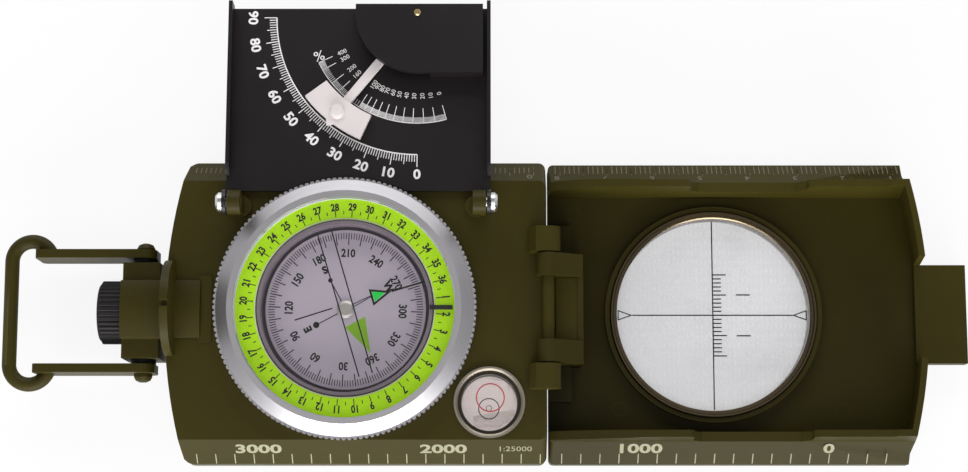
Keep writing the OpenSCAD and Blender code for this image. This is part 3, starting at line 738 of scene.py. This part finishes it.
def finish_of(name):
    """The material of that name, made the first time that it is asked for."""
    if name not in FINISHES:
        c = bpy.context.scene.compass_colours
        makers = {
            "olive": lambda: olive_paint("olive_paint", c.paint),
            # The lid's paint is a painted lighter copy of the case's paint, 1.14 times lighter, with painted
            # shade on its south side and hinge end.
            "olive_lid_lit_and_shaded": lambda: olive_paint("olive_paint_lid_lit_and_shaded", shade(c.paint, 1.14), 0.68),
            # A painted lighter copy of the case's paint, 1.25 times lighter: painted light on the shaded
            # hinge web and on the flush mould marks.
            "olive_lit_copy": lambda: olive_paint("olive_paint_lit_copy", shade(c.paint, 1.25)),
            "black": lambda: black_sheet("black_sheet", c.sheet),
            "bezel": lambda: turned_aluminium("satin_aluminium", c.metal),
            "screw": lambda: plain_metal("bare_steel", (0.7, 0.7, 0.69), 0.25),
            "brass": lambda: plain_metal("brass", (0.68, 0.5, 0.24), 0.25),
            "bronze": lambda: plain_metal("bronze_ring", (0.21, 0.165, 0.1), 0.14),
            "rim": lambda: plain_metal("level_rim", (0.3, 0.265, 0.215), 0.42),
            "knob": lambda: moulded("black_plastic", (0.005, 0.003, 0.0032), 0.55),
            "rubber": lambda: moulded("rubber_black", (0.012, 0.012, 0.012), 0.6),
            "holder": lambda: moulded("level_holder_black", (0.022, 0.016, 0.008), 0.5),
            # The pot's glow is painted light on its wall, which lies in the shade of the bezel and the ring.
            "pot": lambda: moulded("pot_grey", (0.15, 0.12, 0.145), 0.5, 0.1, 0.12),
            "card": lambda: moulded("card_grey", shade(c.card, 1.28), 0.6, 0.03),
            "cap": lambda: plain_metal("card_cap", (0.6, 0.56, 0.54), 0.4),
            # The level backing's glow is painted light on the white disc deep in its cup.
            "white": lambda: moulded("white_plastic", (0.72, 0.64, 0.66), 0.4, 0.03, 0.5),
            "weight": lambda: moulded("pendulum_silver", (0.66, 0.6, 0.6), 0.38, 0.04),
            # The crystal's seal is painted pale: a painted highlight along the crystal's edge.
            "seal_highlight": lambda: moulded("crystal_seal_painted_highlight", (0.62, 0.6, 0.66), 0.3),
            "ring": lambda: luminous_paint("luminous_green", c.ring),
            "ink": lambda: moulded("ink_black", (0.008, 0.007, 0.008), 0.45),
            "ink_pale": lambda: moulded("ink_pale", (0.62, 0.6, 0.5), 0.5),
            "ink_dull": lambda: moulded("ink_dull_cream", (0.26, 0.25, 0.165), 0.6),
            "ink_faint": lambda: moulded("ink_faint_cream", (0.115, 0.095, 0.07), 0.6),
            "ink_white": lambda: moulded("ink_white", (0.78, 0.76, 0.76), 0.5),
            "ink_red": lambda: moulded("ink_red", (0.55, 0.06, 0.08), 0.4),
            # The green's glow is painted light that brightens the crystal's arrow.
            "ink_green": lambda: moulded("ink_green", (0.008, 0.46, 0.05), 0.5, 0.1, 0.1),
            "north": lambda: moulded("north_green", (0.2, 0.4, 0.012), 0.5),
            "bubble": lambda: moulded("bubble_edge_painted_shade", (0.05, 0.04, 0.045), 0.3),
            "glass": lambda: clear_glass("clear_glass", (0.985, 0.985, 0.985)),
            "film": lambda: film_window("window_film"),
            "spirit": lambda: spirit("level_spirit"),
        }
        FINISHES[name] = makers[name]()
    return FINISHES[name]


# Settings

class CompassColours(bpy.types.PropertyGroup):
    """Colours of the compass's finishes."""

    paint: bpy.props.FloatVectorProperty(
        name="Paint", description="Olive paint of the case, lid and bow", size=3, subtype="COLOR",
        min=0.0, max=1.0, default=(0.033, 0.0266, 0.0031))
    sheet: bpy.props.FloatVectorProperty(
        name="Sheet", description="Black paint of the clinometer", size=3, subtype="COLOR",
        min=0.0, max=1.0, default=(0.0075, 0.0052, 0.0056))
    metal: bpy.props.FloatVectorProperty(
        name="Bezel", description="Bare metal of the bezel", size=3, subtype="COLOR",
        min=0.0, max=1.0, default=(0.46, 0.445, 0.465))
    ring: bpy.props.FloatVectorProperty(
        name="Dial ring", description="Luminous paint of the dial ring", size=3, subtype="COLOR",
        min=0.0, max=1.0, default=(0.37, 0.66, 0.004))
    card: bpy.props.FloatVectorProperty(
        name="Card", description="Face of the compass card", size=3, subtype="COLOR",
        min=0.0, max=1.0, default=(0.33, 0.29, 0.34))


class CompassSizes(bpy.types.PropertyGroup):
    """Sizes of the details that the CAD part leaves plain."""

    casting_edge: bpy.props.FloatProperty(
        name="Casting edge", description="Rounding of the castings' edges, in millimetres",
        default=0.45, min=0.05, max=1.0)
    sheet_edge: bpy.props.FloatProperty(
        name="Sheet edge", description="Rounding of the sheet parts' edges, in millimetres",
        default=0.2, min=0.02, max=0.4)
    tick_width: bpy.props.FloatProperty(
        name="Tick width", description="Width of the printed ticks, in millimetres",
        default=0.2, min=0.05, max=0.5)
    lens: bpy.props.FloatProperty(
        name="Camera lens", description="Focal length of the camera, in millimetres",
        default=76.9, min=20.0, max=200.0)
    lamp: bpy.props.FloatProperty(
        name="Lamp level", description="Level of the soft studio light",
        default=1.0, min=0.0, max=4.0)


# Operators

class COMPASS_OT_stage(bpy.types.Operator):
    """Makes the pale floor, the soft studio light and the camera."""

    bl_idname = "compass.stage"
    bl_label = "Stage"

    # Name, place, width and depth in metres, and power in watts
    lamps = (
        ("lamp_overhead", (0.0, -0.34, 0.78), (0.9, 0.5), 2.4),
        ("lamp_north", (0.03, 0.62, 0.34), (0.9, 0.3), 3.8),
        ("lamp_south", (0.05, -0.62, 0.2), (0.9, 0.25), 7.6),
    )
    aim = (0.03, 0.0, 0.0)
    camera_place = (0.0285, -0.0498, 0.4366)
    camera_tilt = 8.74

    def execute(self, context):
        sizes = context.scene.compass_sizes
        scene = context.scene
        scene.view_settings.view_transform = "Standard"
        self.floor()
        self.world(scene)
        for name, place, size, power in self.lamps:
            self.lamp(name, place, size, power * sizes.lamp)
        self.camera(scene, sizes.lens)
        return {"FINISHED"}

    def floor(self):
        loose()
        bpy.ops.mesh.primitive_plane_add(size=4.0, location=(0, 0, 0))
        obj = bpy.context.object
        obj.name = "floor"
        edit(obj)
        bpy.ops.mesh.subdivide(number_cuts=2)
        bpy.ops.object.mode_set(mode="OBJECT")
        f = Finish("pale_floor")
        board = f.shader(f.mix(f.noise(30.0, 3.0), (0.82, 0.82, 0.82), (0.84, 0.84, 0.84)), 0.9)
        white = f.node("ShaderNodeEmission", {}, {"Color": (1, 1, 1), "Strength": 1.0}, "Emission")
        seen = f.node("ShaderNodeLightPath", {}, {}).socket.node
        camera, glossy, through = (
            Wire(f, seen.outputs[k]) for k in ("Is Camera Ray", "Is Glossy Ray", "Is Transmission Ray")
        )
        looked_at = f.math("MAXIMUM", f.math("MAXIMUM", camera, glossy), through)
        whiteness = 0.88
        obj.data.materials.append(f.done(f.mixed(looked_at * whiteness, board, white)))

    def world(self, scene):
        world = bpy.data.worlds.new("studio")
        scene.world = world
        world.use_nodes = True
        sky = Nodes(world.node_tree, "ShaderNodeOutputWorld")
        seen = sky.node("ShaderNodeLightPath", {}, {}, "Is Camera Ray")
        way = sky.node("ShaderNodeTexCoord", {}, {}, "Generated")
        height = sky.node("ShaderNodeSeparateXYZ", {}, {"Vector": way}, "Z")
        fade = sky.node(
            "ShaderNodeMapRange",
            {},
            {"Value": height, "From Min": 0.0, "From Max": 0.8, "To Min": 0.75, "To Max": 0.22},
            "Result",
        )
        dim = sky.node("ShaderNodeBackground", {}, {"Color": (0.98, 0.99, 1.0), "Strength": fade})
        bright = sky.node("ShaderNodeBackground", {}, {"Color": (1, 1, 1), "Strength": 1.0})
        sky.finished(sky.mixed(seen, dim, bright))

    def lamp(self, name, place, size, power):
        loose()
        bpy.ops.object.light_add(type="AREA", location=place)
        lamp = bpy.context.object
        lamp.name = name
        lamp.data.shape = "RECTANGLE"
        lamp.data.size, lamp.data.size_y = size
        lamp.data.energy = power
        lamp.rotation_euler = (Vector(self.aim) - Vector(place)).to_track_quat("-Z", "Y").to_euler()

    def camera(self, scene, lens):
        loose()
        bpy.ops.object.camera_add(
            location=self.camera_place, rotation=(math.radians(self.camera_tilt), 0, 0)
        )
        camera = bpy.context.object
        camera.name = "camera"
        camera.data.lens = lens
        camera.data.sensor_width = 36.0
        camera.data.clip_start = 0.01
        camera.data.clip_end = 20.0
        scene.camera = camera


class COMPASS_OT_castings(bpy.types.Operator):
    """Rounds the painted castings: case, lid, eyepiece block, bow and posts."""

    bl_idname = "compass.castings"
    bl_label = "Castings"

    def execute(self, context):
        edge = context.scene.compass_sizes.casting_edge
        paint, lid_lit_and_shaded_paint = finish_of("olive"), finish_of("olive_lid_lit_and_shaded")
        softened("case_body", "case_casting", edge, paint, first=rounded_corners)
        softened("lid_frame", "lid_casting", edge, lid_lit_and_shaded_paint, first=self.lid_shape)
        self.hinge_slope()
        marks = [hoop(1.35, 1.55, spot, 32) for spot in PIN_MARKS]
        marks.append(line(*PARTING_LINE, 0.16))
        # The mould marks are printed in the lighter copy of the paint, a painted highlight.
        printed("lid_mould_marks", marks, lifted(3.0), "lid", "olive_lit_copy")
        softened("eyepiece_housing", "eyepiece_casting", edge * 0.7, paint)
        softened("thumb_bow", "bow_casting", edge * 0.7, paint)
        softened("clinometer_posts", "post_castings", edge * 0.5, paint)
        return {"FINISHED"}

    def lid_shape(self, obj):
        """Raises the lid's ruler bevels, sweeps its walls up from the hinge and frees its tab's root."""
        for vertex in obj.data.vertices:
            x, y, z = vertex.co / MM
            bevel_foot = abs(y) > OUTER_SIDE and 3.5 < z < 4.5
            bevel_head = abs(y) > 24.9 and 8.3 < z < 10.5
            swept_wall = x < SWEEP_LAST and abs(y) > 24.5 and 11.3 < z < 17.6
            if bevel_foot or bevel_head:
                vertex.co.z += LID_RAISE * MM
            elif swept_wall:
                vertex.co.z = self.wall_top(x) * MM
        rounded_corners(obj, 50.0)
        cutter = block(TAB_GAP, TAB_GAP_SIZE)
        applied(obj, "BOOLEAN", operation="DIFFERENCE", object=cutter, solver="EXACT")
        bpy.data.objects.remove(cutter)

    def wall_top(self, x):
        """Height of the lid's side walls, an arc that rises from the hinge and ends level."""
        run, rise = SWEEP_END - SWEEP_START, SWEEP_TOP - SWEEP_LOW
        radius = (run * run + rise * rise) / (2 * rise)
        return SWEEP_TOP - radius + math.sqrt(radius * radius - max(0.0, SWEEP_END - x) ** 2)

    def hinge_slope(self):
        """The sloping web between the lid's hinge lugs, with the round mark of a mould pin."""
        slope = block(WEB, WEB_SIZE)
        for vertex in slope.data.vertices:
            if vertex.co.z > WEB[2] * MM:
                vertex.co.z = (WEB_HIGH if vertex.co.x > WEB[0] * MM else WEB_LOW) * MM
        applied(slope, "BEVEL", width=0.3 * MM, segments=2)
        uphill = Vector((4.0, 0, WEB_HIGH - WEB_LOW)).normalized()
        place = matrix_of(uphill, Vector((0, 1, 0)), Vector(WEB_MARK) * MM)
        mark = settle(hoop(1.15, 1.3, (0.0, 0.0), 32), place)
        # The web gets the lighter copy of the paint, painted light in the shade of the hinge lugs.
        return dressed(joined("hinge_web_slope", [slope, mark]), "lid", finish_of("olive_lit_copy"))


class COMPASS_OT_sheet_parts(bpy.types.Operator):
    """Rounds the folded sheet plate, its cover and the pendulum."""

    bl_idname = "compass.sheet_parts"
    bl_label = "Sheet parts"

    def execute(self, context):
        edge = context.scene.compass_sizes.sheet_edge
        softened("clinometer_plate", "plate_sheet", edge, finish_of("black"))
        softened("pendulum_cover", "cover_pressing", edge * 2.0, finish_of("black"))
        softened("pendulum", "pendulum_stamping", edge * 0.4, finish_of("weight"))
        return {"FINISHED"}


class COMPASS_OT_dial_scale(bpy.types.Operator):
    """Prints the numbers and ticks of the luminous dial ring."""

    bl_idname = "compass.dial_scale"
    bl_label = "Dial scale"

    def execute(self, context):
        width = context.scene.compass_sizes.tick_width
        lift = lifted(RING_Z)
        strokes = [
            fanned(spoke(DIAL_START, 18.8, 20.15, width * 0.9), 36, 10.0),
            fanned(spoke(DIAL_START + 5.0, 19.3, 20.0, width * 0.8), 36, 10.0),
        ]
        printed("dial_ring_ticks", strokes, lift, "bezel", "ink")
        figures = [self.figure(n) for n in range(1, 37)]
        printed("dial_ring_numbers", figures, lift, "bezel", "ink")
        printed("dial_ring_edge_line", [hoop(18.32, 18.52)], lift, "bezel", "ink_pale")
        return {"FINISHED"}

    def figure(self, number):
        turn = DIAL_START + 10 * number
        return lettering(str(number), 1.6, polar(turn, 20.85), -turn, 0.82, 0.035)


class COMPASS_OT_card_print(bpy.types.Operator):
    """Prints the compass card: its ticks, numbers, cardinal marks and north arrow."""

    bl_idname = "compass.card_print"
    bl_label = "Card print"

    def execute(self, context):
        width = context.scene.compass_sizes.tick_width
        lift = lifted(CARD_Z)
        rim = 15.95
        strokes = [fanned(spoke(HEADING, 13.45, rim, width), 36, 10.0)]
        for k in range(1, 5):
            strokes.append(fanned(spoke(HEADING + 2 * k, 14.65, rim, width * 0.8), 36, 10.0))
        printed("card_ticks", strokes, lift, "card", "ink")
        figures = [
            lettering(str(n), 1.75, polar(n + HEADING, 11.75), -(n + HEADING), 0.85, 0.03)
            for n in range(30, 361, 30)
        ]
        printed("card_numbers", figures, lift, "card", "ink")
        marks = []
        for word, bearing, reach, radius in (("S", 180, 9.3, 0.48), ("E", 90, 8.8, 0.65)):
            turn = bearing + HEADING
            marks.append(self.cardinal(word, turn, reach))
            marks.append(dot(radius, polar(turn, 6.85)))
            marks.append(spoke(turn, 1.9, 6.6, width))
        west = 270 + HEADING
        marks.append(self.cardinal("W", west, 10.0))
        side = Vector(polar(west + 90, 0.16))
        for s in (-1, 1):
            near = Vector(polar(west, 1.9)) + side * s * 1.6
            far = Vector(polar(west, 6.2)) + side * s * 0.5
            marks.append(line(near, far, width * 0.8))
        printed("card_marks", marks, lift, "card", "ink")
        arrow = shape([(-0.1, -3.7), (4.0, -1.5), polar(HEADING - 2.0, 10.3)])
        printed("card_north_arrow", [arrow], lift, "card", "north")
        return {"FINISHED"}

    def cardinal(self, word, turn, reach):
        return lettering(word, 1.7, polar(turn, reach), -turn, 1.0, 0.05)


class COMPASS_OT_crystal_marks(bpy.types.Operator):
    """Prints the guide lines and the arrow on the underside of the crystal."""

    bl_idname = "compass.crystal_marks"
    bl_label = "Crystal marks"

    def execute(self, context):
        under = lifted(CRYSTAL_Z - 0.02)
        guide, pointer = 0.27, 0.36
        strokes = [
            line((-5.59, 14.83), (3.15, -14.27), guide),
            line((-2.75, 15.61), (5.84, -13.51), guide),
            line((-10.12, -2.72), (-2.44, -0.26), guide),
            line((9.6, 3.2), (16.35, 5.24), pointer),
            shape([(4.92, 3.65), (5.93, 0.24), (9.6, 3.25)], 0.42),
        ]
        printed("crystal_guide_lines", strokes, under, "bezel", "ink")
        arrow = shape([(5.55, 3.12), (6.2, 1.05), (8.35, 2.98)])
        printed("crystal_arrow_fill", [arrow], under, "bezel", "ink_green")
        return {"FINISHED"}


class COMPASS_OT_level_marks(bpy.types.Operator):
    """Adds the target circle, and dark rings as painted shade for the bubble's outline, to the spirit level.
    """

    bl_idname = "compass.level_marks"
    bl_label = "Level marks"

    def execute(self, context):
        target = hoop(2.72, 2.98, (LEVEL[0] + 0.2, LEVEL[1] + 1.1), 64)
        printed("level_target", [target], lifted(LEVEL_LIQUID - 0.005), "case", "ink_red")
        # Painted shade: two dark rings stand in for the darkening where the bubble's edge bends the light.
        middle = (LEVEL[0] - 0.1, LEVEL[1] - 1.15)
        shade_rims = [hoop(1.98, 2.2, middle, 64), hoop(0.5, 0.62, (middle[0], middle[1] + 0.1), 32)]
        printed("level_bubble_painted_shade", shade_rims, lifted(LEVEL_LIQUID - 0.6), "case", "bubble")
        return {"FINISHED"}


class COMPASS_OT_clinometer_print(bpy.types.Operator):
    """Prints the clinometer's degree and percent scales."""

    bl_idname = "compass.clinometer_print"
    bl_label = "Clinometer print"

    def execute(self, context):
        sheet = plate_matrix()
        self.degree_print(sheet)
        self.percent_print(sheet)
        return {"FINISHED"}

    def arc(self, inner, outer, first, last):
        """A curved line about the axle, between two angles from straight down towards -X."""
        count = max(2, int((last - first) / 2))
        step = (last - first) / count
        middle = (inner + outer) / 2
        start, end = polar(180 + first, middle, AXLE), polar(180 + first + step, middle, AXLE)
        return fanned(line(start, end, outer - inner), count, step, AXLE)

    def degree_print(self, sheet):
        strokes = [self.arc(29.55, 29.8, 0.0, 90.0)]
        for k in range(91):
            depth, width = self.degree_tick(k)
            strokes.append(spoke(180 + k, DEGREE_RADIUS, DEGREE_RADIUS + depth, width, AXLE))
        printed("degree_scale", strokes, sheet, "clinometer", "ink_white")
        figures = []
        for k in range(10):
            place = polar(180 + 10 * k, 33.85 + 0.09 * k, AXLE)
            figures.append(lettering(str(10 * k), 2.15, place, -10 * k, 1.08, 0.03))
        printed("degree_numbers", figures, sheet, "clinometer", "ink_white")

    def degree_tick(self, degrees):
        """Depth and width of one tick of the degree scale."""
        if degrees % 10 == 0:
            return 2.6, FINE_LINE * 1.2
        return (2.1 if degrees % 10 == 5 else 1.5), FINE_LINE

    def percent_print(self, sheet):
        strokes = [self.arc(22.85, 23.0, self.percent_turn(0), self.percent_turn(400))]
        numbered = [*range(0, 101, 10), 160, 200, 300, 400]
        for value in [*range(0, 101), *range(105, 200, 5), *range(200, 401, 10)]:
            depth, width = (3.2, FINE_LINE * 0.85) if value in numbered else (1.25, FINE_LINE * 0.5)
            turn = 180 + self.percent_turn(value)
            strokes.append(spoke(turn, PERCENT_RADIUS - depth, PERCENT_RADIUS, width, AXLE))
        printed("percent_scale", strokes, sheet, "clinometer", "ink_white")
        figures = []
        for value in numbered:
            turn = self.percent_turn(value)
            reach = 17.1 if value <= 100 else 17.6
            figures.append(lettering(str(value), 0.92, polar(180 + turn, reach, AXLE), 90 - turn, 1.05))
        figures.append(lettering("%", 2.1, polar(180 + 68.0, 22.3, AXLE), 18, 1.1))
        printed("percent_numbers", figures, sheet, "clinometer", "ink_white")

    def percent_turn(self, value):
        """Where a percentage stands, in degrees from straight down towards -X."""
        return STRETCH * math.degrees(math.atan(value / 100)) - LEAN


class COMPASS_OT_window_reticle(bpy.types.Operator):
    """Prints the sighting cross and its scale on the lid's window."""

    bl_idname = "compass.window_reticle"
    bl_label = "Window reticle"

    def execute(self, context):
        hair, bar, pitch = 0.25, 0.27, 0.86
        strokes = [
            line((0.1, -20.0), (0.1, 20.0), hair),
            line((-16.9, -0.03), (16.9, -0.03), hair),
            line((5.05, 4.29), (8.0, 4.29), bar),
            line((5.05, -4.37), (8.0, -4.37), bar),
            shape([(-20.0, -1.15), (-20.0, 1.1), (-16.8, -0.03)], 0.22),
            shape([(19.9, -1.15), (19.9, 1.1), (16.8, -0.03)], 0.22),
        ]
        for k in range(-10, 11):
            reach = 2.95 if k % 5 == 0 else 1.9
            strokes.append(line((0.1, pitch * k - 0.03), (reach, pitch * k - 0.03), hair))
        printed("window_cross", strokes, Matrix.Translation(Vector(WINDOW) * MM), "lid", "ink")
        return {"FINISHED"}


class COMPASS_OT_rulers(bpy.types.Operator):
    """Prints the map scale and the centimetre ruler on the bevelled edges."""

    bl_idname = "compass.rulers"
    bl_label = "Rulers"

    def execute(self, context):
        self.south_case()
        self.south_lid()
        self.north_case()
        self.north_lid()
        return {"FINISHED"}

    def ticks(self, first, pitch, count, low, high, width):
        """Strokes up a bevel, one every pitch millimetres."""
        return repeated(line((first, low), (first, high), width), count, pitch)

    def map_figure(self, words, place, stretch=1.41):
        return lettering(words, MAP_FIGURE, place, 0, stretch, 0.03)

    def ruler_figure(self, words, place, height):
        return lettering(words, height, place, 0, 1.2, 0.02)

    def south_case(self):
        place = bevel_matrix(CASE_BEVEL, -1)
        strokes = [self.ticks(-30.45, 3.917, 19, 0.2, 3.0, 0.21)]
        printed("map_scale_case", strokes, place, "case", "ink_dull")
        figures = [
            self.map_figure("3000", (-17.6, 4.55)),
            self.map_figure("2000", (20.2, 4.55)),
            lettering("1:25000", MAP_RATIO_FIGURE, (35.0, 4.55), 0, 1.1),
        ]
        printed("map_numbers_case", figures, place, "case", "ink_dull")

    def south_lid(self):
        place = bevel_matrix(LID_BEVEL, -1)
        strokes = [self.ticks(44.55, 3.945, 18, 0.3, 2.95, 0.21)]
        printed("map_scale_lid", strokes, place, "lid", "ink_dull")
        figures = [self.map_figure("1000", (60.85, 4.42)), self.map_figure("0", (99.5, 4.42), 1.35)]
        printed("map_numbers_lid", figures, place, "lid", "ink_dull")

    def north_case(self):
        strokes = [
            self.ticks(-38.9, 1.0, 9, 1.9, 4.2, 0.2),
            self.ticks(-38.9, 5.0, 2, 1.9, 5.2, 0.2),
            self.ticks(25.6, 1.0, 7, 1.9, 4.2, 0.2),
            self.ruler_figure("0", (-38.0, 5.6), 1.6),
        ]
        printed("centimetre_ruler_case", strokes, bevel_matrix(CASE_BEVEL, 1), "case", "ink_faint")

    def north_lid(self):
        strokes = [
            self.ticks(-115.5, 1.0, 73, 0.5, 3.2, 0.2),
            self.ticks(-114.5, 5.0, 15, 0.5, 3.6, 0.2),
        ]
        for k, digit in enumerate("12345678"):
            strokes.append(self.ruler_figure(digit, (-113.8 + 10 * k, 4.7), 1.4))
        printed("centimetre_ruler_lid", strokes, bevel_matrix(LID_BEVEL, 1), "lid", "ink_faint")


class COMPASS_OT_finishes(bpy.types.Operator):
    """Gives every CAD node that still shows its finish."""

    bl_idname = "compass.finishes"
    bl_label = "Finishes"

    def execute(self, context):
        plan = {
            "tripod_bush": "brass", "capsule_pot": "pot", "pivot_needle": "screw", "index_bar": "ink",
            "bezel_clip": "screw", "compass_card": "card", "card_jewel": "cap", "card_magnets": "screw",
            "bezel_ring": "bezel", "crystal": "glass", "crystal_gasket": "seal_highlight", "dial_ring": "ring",
            "level_cup": "rim", "level_holder": "holder", "level_backing": "white",
            "level_liquid": "spirit", "level_window": "glass", "housing_screws": "screw",
            "focus_knob": "knob", "lens_cell": "knob", "eyepiece_lens": "glass", "bow_screws": "olive",
            "bow_washers": "rubber", "hinge_pin": "olive", "lid_window": "film", "window_ring": "bronze",
            "clinometer_screws": "screw", "pendulum_rivet": "weight", "pendulum_axle": "brass",
        }
        for node, kind in plan.items():
            obj = frame["nodes"][node]
            obj.data.materials.clear()
            obj.data.materials.append(finish_of(kind))
        bare = [n for n, o in frame["nodes"].items() if n not in plan and not o.hide_render]
        if bare:
            raise RuntimeError(f"no finish for {bare}")
        return {"FINISHED"}


STEPS = (
    COMPASS_OT_stage, COMPASS_OT_castings, COMPASS_OT_sheet_parts, COMPASS_OT_dial_scale,
    COMPASS_OT_card_print, COMPASS_OT_crystal_marks, COMPASS_OT_level_marks,
    COMPASS_OT_clinometer_print, COMPASS_OT_window_reticle, COMPASS_OT_rulers, COMPASS_OT_finishes,
)


class COMPASS_PT_panel(bpy.types.Panel):
    """Lists the compass's settings and steps."""

    bl_idname = "COMPASS_PT_panel"
    bl_label = "Compass"
    bl_space_type = "VIEW_3D"
    bl_region_type = "UI"
    bl_category = "Compass"

    def draw(self, context):
        for group in (context.scene.compass_colours, context.scene.compass_sizes):
            for key in group.__annotations__:
                self.layout.prop(group, key)
        for step in STEPS:
            self.layout.operator(step.bl_idname)


CLASSES = (CompassColours, CompassSizes, *STEPS, COMPASS_PT_panel)


def register():
    for each in CLASSES:
        bpy.utils.register_class(each)
    bpy.types.Scene.compass_colours = bpy.props.PointerProperty(type=CompassColours)
    bpy.types.Scene.compass_sizes = bpy.props.PointerProperty(type=CompassSizes)


def unregister():
    del bpy.types.Scene.compass_sizes
    del bpy.types.Scene.compass_colours
    for each in reversed(CLASSES):
        bpy.utils.unregister_class(each)


def main():
    register()
    for step in STEPS:
        family, action = step.bl_idname.split(".")
        getattr(getattr(bpy.ops, family), action)()
    loose()


if __name__ == "__main__":
    main()
